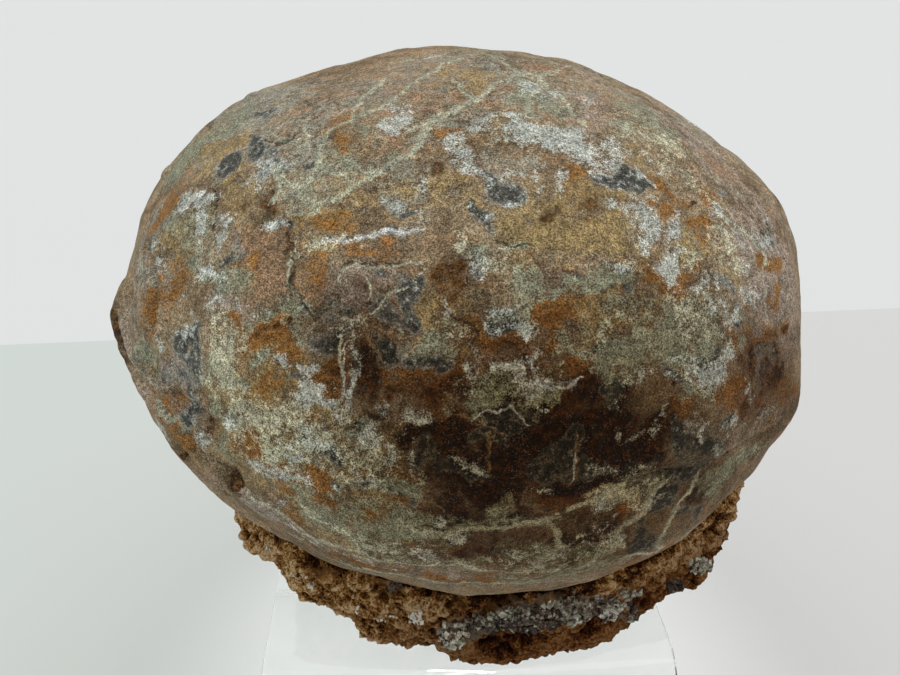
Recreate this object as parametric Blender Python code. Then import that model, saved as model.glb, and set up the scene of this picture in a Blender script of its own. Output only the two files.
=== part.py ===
"""A fossil dinosaur egg, cemented in rough rock matrix, on a clear bent acrylic riser.

Metres, +Z up. The riser's two legs stand at -Y and +Y and its open sides face -X and +X.
The front is at -Y. The origin is the bottom centre of the whole object's box.
Azimuths are measured from +X towards +Y and elevations from the egg's middle, in degrees.
"""

import math

import bmesh
import bpy
from mathutils import Matrix, Vector, noise

MM = 0.001

# The egg: a squat, slightly crushed ball of shell, its right side dipping.
EGG_HALF_WIDTH = 79 * MM
EGG_HALF_DEPTH = 72 * MM
EGG_HALF_HEIGHT = 60 * MM
EGG_ROLL = math.radians(4.9)
EGG_TURN = math.radians(-3.5)
EGG_SUBDIVISIONS = 5

# The rock matrix: a broken block under the egg, narrowing to its foot.
EGG_MIDDLE_ABOVE_PLATE = 75 * MM
ROCK_HALF_WIDTH = 66 * MM
ROCK_HALF_DEPTH = 55 * MM
ROCK_SHIFT_X = 3 * MM
ROCK_LEAN_X = 4 * MM
ROCK_LEAN_FROM = -40 * MM
ROCK_TOP = -16 * MM
ROCK_WEAR = 1.5 * MM
ROCK_SUBDIVISIONS = 5
BED_GAP = 0.4 * MM
REST_GAP = 0.3 * MM

# The riser: one square sheet of clear acrylic, bent down at the front and the back.
STAND_SIDE = 101.6 * MM
STAND_SHIFT_X = -1.5 * MM
STAND_HEIGHT = 76 * MM
SHEET = 3 * MM
BEND_RADIUS = 12 * MM
BEND_STEPS = 10

# How the rock's sphere is laid out, as shares of the way from its bottom pole to its top one.
ROCK_FOOT_SHARE = 0.27
ROCK_WALL_SHARE = 0.74

# The broken stone: the wavelength and the rise of its lumps, ridges, crumbs and pits.
ROCK_LUMPS = (15 * MM, 3.2 * MM)
ROCK_RIDGES = (8 * MM, 1.8 * MM)
ROCK_CRUMBS = (11 * MM, 2.6 * MM)
ROCK_PITS = (17 * MM, 2.6 * MM)

# The shell's own unevenness: the wavelength and the rise of each scale.
SHELL_WAVES = (26 * MM, 1.1 * MM)
SHELL_RIPPLES = (10 * MM, 0.45 * MM)

# Broad swellings and hollows of the shell: azimuth, elevation, spread in degrees, rise.
SHELL_SWELLS = (
    (-177, 36, 13, 1.5 * MM),
    (-80, -31, 16, 1.6 * MM),
    (-33, -2, 7, 1.6 * MM),
    (-12, 26, 16, 1.5 * MM),
    (-42, -8, 8, -1.6 * MM),
    (-150, -1, 8, 0.9 * MM),
    (-138, -8, 6, -2.9 * MM),
    (-170, 68, 14, -1.9 * MM),
    (-90, 78, 16, -0.8 * MM),
    (-115, 30, 11, 0.8 * MM),
    (70, 5, 24, 1.2 * MM),
    (135, 20, 18, -1.3 * MM),
    (20, -10, 14, -1.2 * MM),
)

# Faces where the shell has worn or broken flat: azimuth, elevation, depth shaved off.
WORN_SHARE = 0.85
WORN_FACES = (
    (-27, 15, 1.7 * MM),
    (-112, 8, 0.7 * MM),
    (28, 24, 1.6 * MM),
    (118, -4, 1.8 * MM),
)

# Flakes of shell that stand proud: azimuth, elevation, half width, half height, rise.
FLAKES = (
    (-165, 9, 7, 8, 2.6 * MM),
    (-62, 9, 17, 7, 0.7 * MM),
    (150, 2, 14, 8, 1.3 * MM),
)

# Folds, pressed in along a line of (azimuth, elevation) points: line, half width, depth.
FOLDS = (
    (((-148, 6), (-147, 2), (-138, 1), (-135, -1.5), (-130, -4)), 2.6, 1.5 * MM),
    (((-139, 6.5), (-134, 5.5), (-129.5, 3.3)), 2.2, 0.9 * MM),
    (((95, 10), (112, 6), (128, 9)), 2.6, 1.2 * MM),
)

# The shell's lower band at the right slipped in under this lip of (azimuth, elevation).
LIP_LINE = ((-84, -4), (-76, -0.8), (-68, 0.8), (-58, -1), (-50, -0.8), (-41, -2.2))
LIP_DEPTH = 1.5 * MM
LIP_EDGE = 2.0
LIP_FADE = 17.0
LIP_ENDS = 6.0

# How the rock's outline changes with height: height from the egg's middle, scale.
ROCK_PROFILE = (
    (-75 * MM, 0.78),
    (-70 * MM, 0.87),
    (-62 * MM, 0.95),
    (-52 * MM, 1.0),
    (-40 * MM, 1.0),
    (-28 * MM, 0.97),
    (-16 * MM, 0.86),
)

# Knobs and bites in the rock: azimuth, height, spread, outward push.
ROCK_FORMS = (
    (-162, -51 * MM, 8 * MM, 3.5 * MM),
    (-112, -68 * MM, 8 * MM, 1.5 * MM),
    (-98, -71 * MM, 8 * MM, 1.5 * MM),
    (-72, -68 * MM, 9 * MM, 3.0 * MM),
    (-52, -71 * MM, 7 * MM, -3.0 * MM),
    (-38, -60 * MM, 9 * MM, 5.0 * MM),
    (-24, -44 * MM, 13 * MM, 5.5 * MM),
    (172, -60 * MM, 12 * MM, -4.0 * MM),
    (150, -44 * MM, 12 * MM, 4.5 * MM),
    (118, -36 * MM, 14 * MM, 7.0 * MM),
    (92, -48 * MM, 10 * MM, -3.0 * MM),
    (66, -38 * MM, 13 * MM, 6.0 * MM),
    (35, -56 * MM, 12 * MM, 3.0 * MM),
    (8, -66 * MM, 12 * MM, -4.0 * MM),
    (14, -38 * MM, 10 * MM, 4.0 * MM),
)


def clear_scene():
    for item in list(bpy.data.objects):
        bpy.data.objects.remove(item, do_unlink=True)


def make_material(name, colour, roughness, transmission=0.0, ior=1.5):
    material = bpy.data.materials.new(name)
    material.use_nodes = True
    shader = material.node_tree.nodes["Principled BSDF"]
    shader.inputs["Base Color"].default_value = (*colour, 1.0)
    shader.inputs["Roughness"].default_value = roughness
    shader.inputs["Metallic"].default_value = 0.0
    shader.inputs["Transmission Weight"].default_value = transmission
    shader.inputs["IOR"].default_value = ior
    return material


def make_object(name, shape, material, smooth_angle=None):
    """A mesh object made from the bmesh, which it frees."""
    mesh = bpy.data.meshes.new(name)
    shape.to_mesh(mesh)
    shape.free()
    mesh.materials.append(material)
    if smooth_angle is not None:
        mesh.shade_smooth()
        mesh.set_sharp_from_angle(angle=smooth_angle)
    made = bpy.data.objects.new(name, mesh)
    bpy.context.scene.collection.objects.link(made)
    return made


def smooth_step(low, high, value):
    """0 at low, 1 at high, and an even S between them, whichever is the larger."""
    share = min(max((value - low) / (high - low), 0.0), 1.0)
    return share * share * (3 - 2 * share)


def turn_difference(azimuth, other):
    """The way round from other to azimuth, from -180 to 180 degrees."""
    return (azimuth - other + 180) % 360 - 180


def direction_at(azimuth, elevation):
    level = math.cos(math.radians(elevation))
    turn = math.radians(azimuth)
    return Vector((level * math.cos(turn), level * math.sin(turn), math.sin(math.radians(elevation))))


def angles_of(direction):
    azimuth = math.degrees(math.atan2(direction.y, direction.x))
    elevation = math.degrees(math.asin(max(-1.0, min(1.0, direction.z))))
    return azimuth, elevation


def height_on_line(line, azimuth):
    """The elevation of a line of (azimuth, elevation) points, or None past its ends."""
    for (start, low), (end, high) in zip(line, line[1:]):
        span = turn_difference(end, start)
        along = turn_difference(azimuth, start) / span
        if 0 <= along <= 1:
            return low + along * (high - low)
    return None


def distance_to_line(line, azimuth, elevation):
    """How far, in degrees, a place on the shell is from a line of (azimuth, elevation) points."""
    nearest = 180.0
    squeeze = math.cos(math.radians(elevation))
    for (start, low), (end, high) in zip(line, line[1:]):
        run = Vector((turn_difference(end, start) * squeeze, high - low))
        here = Vector((turn_difference(azimuth, start) * squeeze, elevation - low))
        along = min(max(here.dot(run) / run.length_squared, 0.0), 1.0)
        nearest = min(nearest, (here - run * along).length)
    return nearest


EGG_FRAME = Matrix.Rotation(EGG_TURN, 3, "Z") @ Matrix.Rotation(EGG_ROLL, 3, "Y")
EGG_HALVES = (EGG_HALF_WIDTH, EGG_HALF_DEPTH, EGG_HALF_HEIGHT)


def ellipsoid_radius(direction):
    local = EGG_FRAME.transposed() @ direction
    return 1 / math.sqrt(sum((part / half) ** 2 for part, half in zip(local, EGG_HALVES)))


def ellipsoid_reach(direction):
    """How far the plain ellipsoid reaches along a direction."""
    local = EGG_FRAME.transposed() @ direction
    return math.sqrt(sum((part * half) ** 2 for part, half in zip(local, EGG_HALVES)))


def shell_swell(direction):
    rise = 0.0
    for azimuth, elevation, spread, height in SHELL_SWELLS:
        apart = math.degrees(direction.angle(direction_at(azimuth, elevation)))
        rise += height * math.exp(-((apart / spread) ** 2))
    return rise


def flake_rise(azimuth, elevation):
    rise = 0.0
    for middle, level, half_width, half_height, height in FLAKES:
        across = abs(turn_difference(azimuth, middle)) / half_width
        up = (elevation - level) / half_height
        if across < 1 and -1 < up < 1:
            rise += height * smooth_step(1.0, 0.55, across) * smooth_step(-1.0, -0.7, up) * (1 - up) / 2
    return rise


def fold_depth(azimuth, elevation):
    depth = 0.0
    for line, half_width, deepest in FOLDS:
        share = distance_to_line(line, azimuth, elevation) / half_width
        depth = max(depth, deepest * math.exp(-(share**2)))
    return depth


def lip_depth(azimuth, elevation):
    edge = height_on_line(LIP_LINE, azimuth)
    if edge is None or elevation > edge:
        return 0.0
    below = edge - elevation
    from_ends = min(turn_difference(azimuth, LIP_LINE[0][0]), turn_difference(LIP_LINE[-1][0], azimuth))
    ends = smooth_step(0, LIP_ENDS, from_ends)
    return LIP_DEPTH * ends * smooth_step(0, LIP_EDGE, below) * smooth_step(LIP_FADE, LIP_EDGE, below)


def shell_noise(point):
    broad = noise.noise(point / SHELL_WAVES[0]) * SHELL_WAVES[1]
    small = noise.noise(point / SHELL_RIPPLES[0] + Vector((7, 3, 5))) * SHELL_RIPPLES[1]
    return broad + small


def shell_radius(direction):
    """How far the egg's surface is from its middle along a unit direction."""
    azimuth, elevation = angles_of(direction)
    radius = ellipsoid_radius(direction)
    radius += shell_swell(direction) + shell_noise(direction * radius)
    for face_azimuth, face_elevation, depth in WORN_FACES:
        outward = direction_at(face_azimuth, face_elevation)
        toward = direction.dot(outward)
        if toward > 0.5:
            over = radius * toward - (ellipsoid_reach(outward) - depth)
            radius -= WORN_SHARE * max(over, 0.0) / toward
    radius += flake_rise(azimuth, elevation)
    radius -= fold_depth(azimuth, elevation) + lip_depth(azimuth, elevation)
    return radius


def shell_shape(extra=0.0):
    """The egg's closed form round its middle, grown outwards by extra."""
    shape = bmesh.new()
    bmesh.ops.create_icosphere(shape, subdivisions=EGG_SUBDIVISIONS, radius=1.0)
    for vert in shape.verts:
        direction = vert.co.normalized()
        vert.co = direction * (shell_radius(direction) + extra)
    return shape


def rock_scale(height):
    """How wide the rock is at a height, as a share of its widest."""
    for (low, near), (high, far) in zip(ROCK_PROFILE, ROCK_PROFILE[1:]):
        if height <= high:
            share = max(height - low, 0.0) / (high - low)
            return near + share * (far - near)
    return ROCK_PROFILE[-1][1]


def rock_push(point, azimuth):
    """How far the rock's broken wall stands out at a place: knobs, bites, ledges and pits."""
    push = -ROCK_WEAR
    for middle, height, spread, out in ROCK_FORMS:
        around = math.radians(turn_difference(azimuth, middle)) * ROCK_HALF_DEPTH
        away = math.hypot(around, point.z - height)
        push += out * math.exp(-((away / spread) ** 2))
    push += noise.noise(point / ROCK_LUMPS[0]) * ROCK_LUMPS[1]
    ridge = abs(noise.noise(point / ROCK_RIDGES[0] + Vector((4, 9, 2))))
    push += (0.5 - 2 * ridge) * ROCK_RIDGES[1]
    from_crumb = noise.voronoi(point / ROCK_CRUMBS[0])[0][0]
    push += (0.45 - from_crumb) * ROCK_CRUMBS[1]
    from_pit = noise.voronoi(point / ROCK_PITS[0] + Vector((3, 1, 8)))[0][0]
    push -= ROCK_PITS[1] * smooth_step(0.36, 0.1, from_pit)
    return push


def rock_shape():
    """The block before the egg's bed is cut: a flat foot, a broken wall and a hidden top."""
    foot = -EGG_MIDDLE_ABOVE_PLATE + REST_GAP
    shape = bmesh.new()
    bmesh.ops.create_icosphere(shape, subdivisions=ROCK_SUBDIVISIONS, radius=1.0)
    for vert in shape.verts:
        direction = vert.co.normalized()
        azimuth = angles_of(direction)[0]
        climb = math.acos(max(-1.0, min(1.0, -direction.z))) / math.pi
        share = min(max((climb - ROCK_FOOT_SHARE) / (ROCK_WALL_SHARE - ROCK_FOOT_SHARE), 0.0), 1.0)
        height = foot + share * (ROCK_TOP - foot)
        across = min(climb / ROCK_FOOT_SHARE, 1.0) * min((1 - climb) / (1 - ROCK_WALL_SHARE), 1.0)
        turn = math.radians(azimuth)
        scale = rock_scale(height) * across
        wall = Vector((math.cos(turn) * ROCK_HALF_WIDTH, math.sin(turn) * ROCK_HALF_DEPTH, 0))
        point = wall * scale + Vector((0, 0, height))
        wide = wall * rock_scale(height) + Vector((0, 0, height))
        push = rock_push(wide, azimuth) * across
        point += wall.normalized() * push
        point.x += ROCK_SHIFT_X + ROCK_LEAN_X * smooth_step(ROCK_LEAN_FROM, foot, height)
        vert.co = point
    return shape


def riser_profile():
    """The bent sheet's outline in YZ, round its outer side and back along its inner side."""
    half = STAND_SIDE / 2
    outer = []
    inner = []
    for side in (-1, 1):
        middle_y = side * (half - BEND_RADIUS)
        middle_z = STAND_HEIGHT - BEND_RADIUS
        arc = [math.radians(90) * step / BEND_STEPS for step in range(BEND_STEPS + 1)]
        for radius, points in ((BEND_RADIUS, outer), (BEND_RADIUS - SHEET, inner)):
            bend = [
                (middle_y + side * radius * math.cos(turn), middle_z + radius * math.sin(turn))
                for turn in arc
            ]
            foot = (side * (half - BEND_RADIUS + radius), 0.0)
            points.extend([foot] + bend if side < 0 else bend[::-1] + [foot])
    return outer + inner[::-1]


def make_riser(material):
    """One sheet of acrylic, bent at both legs, with its foot on the ground."""
    shape = bmesh.new()
    outline = [shape.verts.new((-STAND_SIDE / 2, y, z)) for y, z in riser_profile()]
    face = shape.faces.new(outline)
    extruded = bmesh.ops.extrude_face_region(shape, geom=[face])["geom"]
    moved = [item for item in extruded if isinstance(item, bmesh.types.BMVert)]
    bmesh.ops.translate(shape, verts=moved, vec=(STAND_SIDE, 0, 0))
    bmesh.ops.recalc_face_normals(shape, faces=shape.faces)
    riser = make_object("display_stand", shape, material, smooth_angle=math.radians(30))
    riser.location.x = STAND_SHIFT_X
    return riser


def make_egg(material):
    egg = make_object("egg", shell_shape(), material, smooth_angle=math.radians(180))
    egg.location.z = STAND_HEIGHT + EGG_MIDDLE_ABOVE_PLATE
    return egg


def make_matrix_base(material):
    """The rock, with a bed cut in it that follows the egg's underside."""
    rock = make_object("matrix_base", rock_shape(), material)
    rock.location.z = STAND_HEIGHT + EGG_MIDDLE_ABOVE_PLATE
    bed = make_object("egg_bed_cutter", shell_shape(BED_GAP), material)
    bed.location.z = rock.location.z
    bed.hide_render = True
    bed.display_type = "WIRE"
    cut = rock.modifiers.new("egg bed", "BOOLEAN")
    cut.operation = "DIFFERENCE"
    cut.object = bed
    return rock


def centre_over_origin(pieces):
    """Moves everything sideways, so that the whole box stands centred over the origin."""
    bpy.context.view_layer.update()
    corners = [piece.matrix_world @ Vector(corner) for piece in pieces for corner in piece.bound_box]
    middle_x = (min(c.x for c in corners) + max(c.x for c in corners)) / 2
    middle_y = (min(c.y for c in corners) + max(c.y for c in corners)) / 2
    for item in bpy.data.objects:
        item.location.x -= middle_x
        item.location.y -= middle_y


def build():
    clear_scene()
    shell = make_material("fossil shell", (0.30, 0.18, 0.10), 0.7)
    stone = make_material("rough matrix rock", (0.16, 0.08, 0.035), 0.9)
    acrylic = make_material("clear acrylic", (0.95, 0.97, 0.96), 0.03, transmission=1.0, ior=1.49)
    pieces = [make_egg(shell), make_matrix_base(stone), make_riser(acrylic)]
    centre_over_origin(pieces)


build()
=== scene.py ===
"""The looks of a fossil dinosaur egg in its rock matrix on a clear bent riser.

Metres, +Z up, front at -Y. Places on the shell are given as (x, y) pixels of a 900 x 675 view
from the camera below, and are carried onto the shell along the camera's own sight lines.
"""

import math
import random

import bmesh
import bpy
import numpy as np
from mathutils import Euler, Matrix, Vector, noise
from mathutils.bvhtree import BVHTree


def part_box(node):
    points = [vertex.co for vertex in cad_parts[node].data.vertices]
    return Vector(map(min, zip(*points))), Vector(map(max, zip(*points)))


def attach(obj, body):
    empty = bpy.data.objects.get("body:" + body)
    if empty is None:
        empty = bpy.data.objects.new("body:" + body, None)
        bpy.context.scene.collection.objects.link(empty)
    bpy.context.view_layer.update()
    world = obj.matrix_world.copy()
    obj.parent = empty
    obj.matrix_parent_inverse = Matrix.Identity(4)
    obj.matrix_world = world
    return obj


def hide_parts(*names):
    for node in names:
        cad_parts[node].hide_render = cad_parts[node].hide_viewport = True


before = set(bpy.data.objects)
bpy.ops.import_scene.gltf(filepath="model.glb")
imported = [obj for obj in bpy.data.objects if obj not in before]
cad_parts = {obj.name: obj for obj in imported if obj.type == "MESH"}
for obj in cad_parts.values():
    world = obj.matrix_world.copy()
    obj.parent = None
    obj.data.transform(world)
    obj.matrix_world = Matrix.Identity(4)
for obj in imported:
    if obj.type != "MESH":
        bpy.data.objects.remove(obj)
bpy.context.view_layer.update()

MM = 0.001
EGG_SEED = 11
CRYSTAL_SEED = 16


# ---------------------------------------------------------------- places and the camera

# The camera: its place is counted from the egg's middle.
VIEW_WIDTH = 900
VIEW_HEIGHT = 675
SENSOR = 36.0
LENS = 29.12
PITCH = math.radians(28.2)
HEADING = math.radians(3.5)
CAMERA_FROM_EGG = Vector((-13.9, -163.4, 78.9)) * MM
NEAREST_SEEN = 10 * MM
EGG_MIDDLE_ABOVE_PLATE = 75 * MM


def egg_middle():
    low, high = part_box("egg")
    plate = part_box("display_stand")[1].z
    return Vector(((low.x + high.x) / 2, (low.y + high.y) / 2, plate + EGG_MIDDLE_ABOVE_PLATE))


MIDDLE = egg_middle()
EYE = MIDDLE + CAMERA_FROM_EGG
TURN = Euler((math.pi / 2 - PITCH, 0, -HEADING)).to_matrix()
EYE_RIGHT = TURN @ Vector((1, 0, 0))
EYE_UP = TURN @ Vector((0, 1, 0))
EYE_AHEAD = TURN @ Vector((0, 0, -1))
PIXELS_PER_SLOPE = LENS / SENSOR * VIEW_WIDTH


def make_camera():
    data = bpy.data.cameras.new("camera")
    data.lens = LENS
    data.sensor_width = SENSOR
    data.clip_start = NEAREST_SEEN
    camera = bpy.data.objects.new("camera", data)
    camera.location = EYE
    camera.rotation_euler = TURN.to_euler()
    bpy.context.scene.collection.objects.link(camera)
    bpy.context.scene.camera = camera


def sight_line(pixel):
    """The unit direction in which the camera sees a pixel."""
    across = (pixel[0] - VIEW_WIDTH / 2) / PIXELS_PER_SLOPE
    down = (pixel[1] - VIEW_HEIGHT / 2) / PIXELS_PER_SLOPE
    return (EYE_AHEAD + EYE_RIGHT * across - EYE_UP * down).normalized()


def place_on(surface, pixel):
    """(point, outward normal) where the camera sees a pixel on a surface, or passes nearest it."""
    direction = sight_line(pixel)
    point, normal, _, _ = surface.ray_cast(EYE, direction)
    if point is None:
        beside = EYE + direction * (MIDDLE - EYE).dot(direction)
        point, normal, _, _ = surface.find_nearest(beside)
    return point, normal


# ---------------------------------------------------------------- meshes

MERGE_DISTANCE = 0.02 * MM


def new_object(name, mesh, material):
    made = bpy.data.objects.new(name, mesh)
    bpy.context.scene.collection.objects.link(made)
    if material is not None:
        mesh.materials.append(material)
    return made


def object_from(name, shape, material=None):
    """A mesh object made from a bmesh, which it frees."""
    mesh = bpy.data.meshes.new(name)
    shape.to_mesh(mesh)
    shape.free()
    return new_object(name, mesh, material)


def solid_copy(node):
    """A bmesh of a frame node, its loose triangles merged."""
    shape = bmesh.new()
    shape.from_mesh(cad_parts[node].data)
    bmesh.ops.remove_doubles(shape, verts=shape.verts, dist=MERGE_DISTANCE)
    bmesh.ops.recalc_face_normals(shape, faces=shape.faces)
    return shape


def evaluated_mesh(item):
    graph = bpy.context.evaluated_depsgraph_get()
    return bpy.data.meshes.new_from_object(item.evaluated_get(graph))


def cast_tree(mesh):
    """A tree of a mesh, for casting rays."""
    shape = bmesh.new()
    shape.from_mesh(mesh)
    tree = BVHTree.FromBMesh(shape)
    shape.free()
    return tree


def smoothed_surface(node, levels):
    """A ray-casting tree of a frame node, rounded by subdivision."""
    rough = object_from("rounding", solid_copy(node))
    rounding = rough.modifiers.new("rounding", "SUBSURF")
    rounding.levels = levels
    rounding.render_levels = levels
    mesh = evaluated_mesh(rough)
    tree = cast_tree(mesh)
    bpy.data.meshes.remove(mesh)
    bpy.data.objects.remove(rough, do_unlink=True)
    return tree


def vertex_vectors(mesh, name):
    """The "co" or the "normal" of each vertex, a row each."""
    vectors = np.empty(len(mesh.vertices) * 3, np.float32)
    mesh.vertices.foreach_get(name, vectors)
    return vectors.reshape(-1, 3).astype(np.float64)


def set_places(mesh, places):
    mesh.vertices.foreach_set("co", places.astype(np.float32).ravel())
    mesh.update()


def store_field(mesh, name, values):
    """Keeps one number for each vertex, for the material to read."""
    mesh.attributes.new(name, "FLOAT", "POINT").data.foreach_set("value", values.astype(np.float32))


def unit(vectors):
    return vectors / np.linalg.norm(vectors, axis=1, keepdims=True)


def soft_step(low, high, values):
    share = np.clip((values - low) / (high - low), 0, 1)
    return share * share * (3 - 2 * share)


# Noise is read on turned axes, so that none of its grid lies along the object's own, and an
# offset moves it by another amount on each axis.
NOISE_TURN = np.array(Euler((0.6, 1.1, 0.4)).to_matrix())
WAVE_OFFSETS = (1.0, 1.7, -0.6)
CELL_OFFSETS = (1.0, -0.8, 1.3)


def waves(places, wavelength, offset):
    """Smooth noise from about -1 to 1, of one wavelength, at each place."""
    shift = Vector([offset * share for share in WAVE_OFFSETS])
    turned = places @ NOISE_TURN / wavelength
    return np.array([noise.noise(Vector(place) + shift) for place in turned])


def layered_waves(places, layers):
    """The rise of several waves, each given as (wavelength in mm, height in mm, offset)."""
    layered = sum(waves(places, wavelength * MM, offset) * height
                  for wavelength, height, offset in layers)
    return layered * MM


def cell_distance(places, size, offset):
    """How far each place is from its nearest scattered point, in cell sizes."""
    shift = Vector([offset * share for share in CELL_OFFSETS])
    return np.array([noise.voronoi(Vector(place) / size + shift)[0][0] for place in places])


# ---------------------------------------------------------------- marks on a surface

# How often a seen line is split in two, and how far each new point may sway, as a share of the
# distance between its neighbours.
LINE_SPLITS = 3
LINE_SWAY = 0.14
NO_LENGTH = 1e-12


def wandering(line, splits, sway, rng):
    """A line of 3-D points, split again and again, each new point swaying a little sideways."""
    points = [Vector(point) for point in line]
    for _ in range(splits):
        finer = [points[0]]
        for start, end in zip(points, points[1:]):
            reach = (end - start).length * sway
            bend = Vector([rng.uniform(-reach, reach) for _ in range(3)])
            finer.extend([(start + end) / 2 + bend, end])
        points = finer
    return np.array([tuple(point) for point in points])


def line_distance(places, outward, lines, reach):
    """Signed distance of each place from its nearest line, over that line's width in mm.

    It is positive on one side of a line and negative on the other, so that it crosses zero
    between vertices and a thin line stays whole.
    """
    nearest = np.full(len(places), reach)
    for line, width in lines:
        middle = (line.min(axis=0) + line.max(axis=0)) / 2
        radius = np.linalg.norm(line - middle, axis=1).max() + reach
        close = np.nonzero(((places - middle) ** 2).sum(axis=1) < radius * radius)[0]
        if not len(close):
            continue
        here = places[close]
        best = nearest[close]
        for start, end in zip(line, line[1:]):
            run = end - start
            away = here - start
            along = np.clip(away @ run / max(run @ run, NO_LENGTH), 0, 1)
            apart = np.linalg.norm(away - along[:, None] * run, axis=1) / width
            side = np.where((away * np.cross(run, outward[close])).sum(axis=1) < 0, -1.0, 1.0)
            best = np.where(apart < np.abs(best), apart * side, best)
        nearest[close] = best
    return nearest


# How far stains stray from smooth ovals: (wavelength in mm, reach in mm, offset).
STRAY = ((9.0, 4.0, 20.0), (3.8, 2.2, 50.0), (1.9, 1.1, 80.0))
STRAY_AXIS_OFFSET = 9.0


def strayed(places):
    """The places moved a little to and fro, which gives the stains ragged outlines."""
    moved = places.copy()
    for wavelength, reach, offset in STRAY:
        for axis in range(3):
            layer = (wavelength, reach, offset + axis * STRAY_AXIS_OFFSET)
            moved[:, axis] += layered_waves(places, (layer,))
    return moved


# Stains are drawn a little larger than their ovals and end this many half widths from the
# middle. Their half width through the shell is their depth. Where the shell turns away from the
# camera, an oval is drawn out no more than at the least facing.
STAIN_SIZE = 1.2
STAIN_END = 1.5
STAIN_DEPTH = 25 * MM
LEAST_FACING = 0.35


def oval_cover(places, oval, strength):
    """How strongly an oval stains each place: full in its middle, half at its rim, gone beyond."""
    centre, first, second, normal = (np.array(vector) for vector in oval)
    away = places - centre
    base = np.array([first, second])
    across = away @ base.T @ np.linalg.inv(base @ base.T)
    deep = (away @ normal) / STAIN_DEPTH
    return strength * np.clip(STAIN_END - np.sqrt((across**2).sum(axis=1) + deep**2), 0, 1)


def seen_oval(surface, x, y, half_width, half_height, tilt):
    """The centre, tangents and normal of an oval that the camera sees with that size, in pixels."""
    centre, normal = place_on(surface, (x, y))
    view = (centre - EYE).normalized()
    facing = min(view.dot(normal), -LEAST_FACING)
    size = STAIN_SIZE * (centre - EYE).dot(EYE_AHEAD) / PIXELS_PER_SLOPE
    turn = math.radians(tilt)
    first = EYE_RIGHT * math.cos(turn) - EYE_UP * math.sin(turn)
    second = EYE_RIGHT * math.sin(turn) + EYE_UP * math.cos(turn)
    tangents = []
    for axis, half in ((first, half_width), (second, half_height)):
        level = axis - view * (axis.dot(normal) / facing)
        tangents.append(level * size * half)
    return centre, *tangents, normal


def seen_cover(surface, places, ovals):
    """The strongest of several ovals (x, y, half width, half height, tilt, strength)."""
    cover = np.zeros(len(places))
    for *oval, strength in ovals:
        cover = np.maximum(cover, oval_cover(places, seen_oval(surface, *oval), strength))
    return cover


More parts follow.
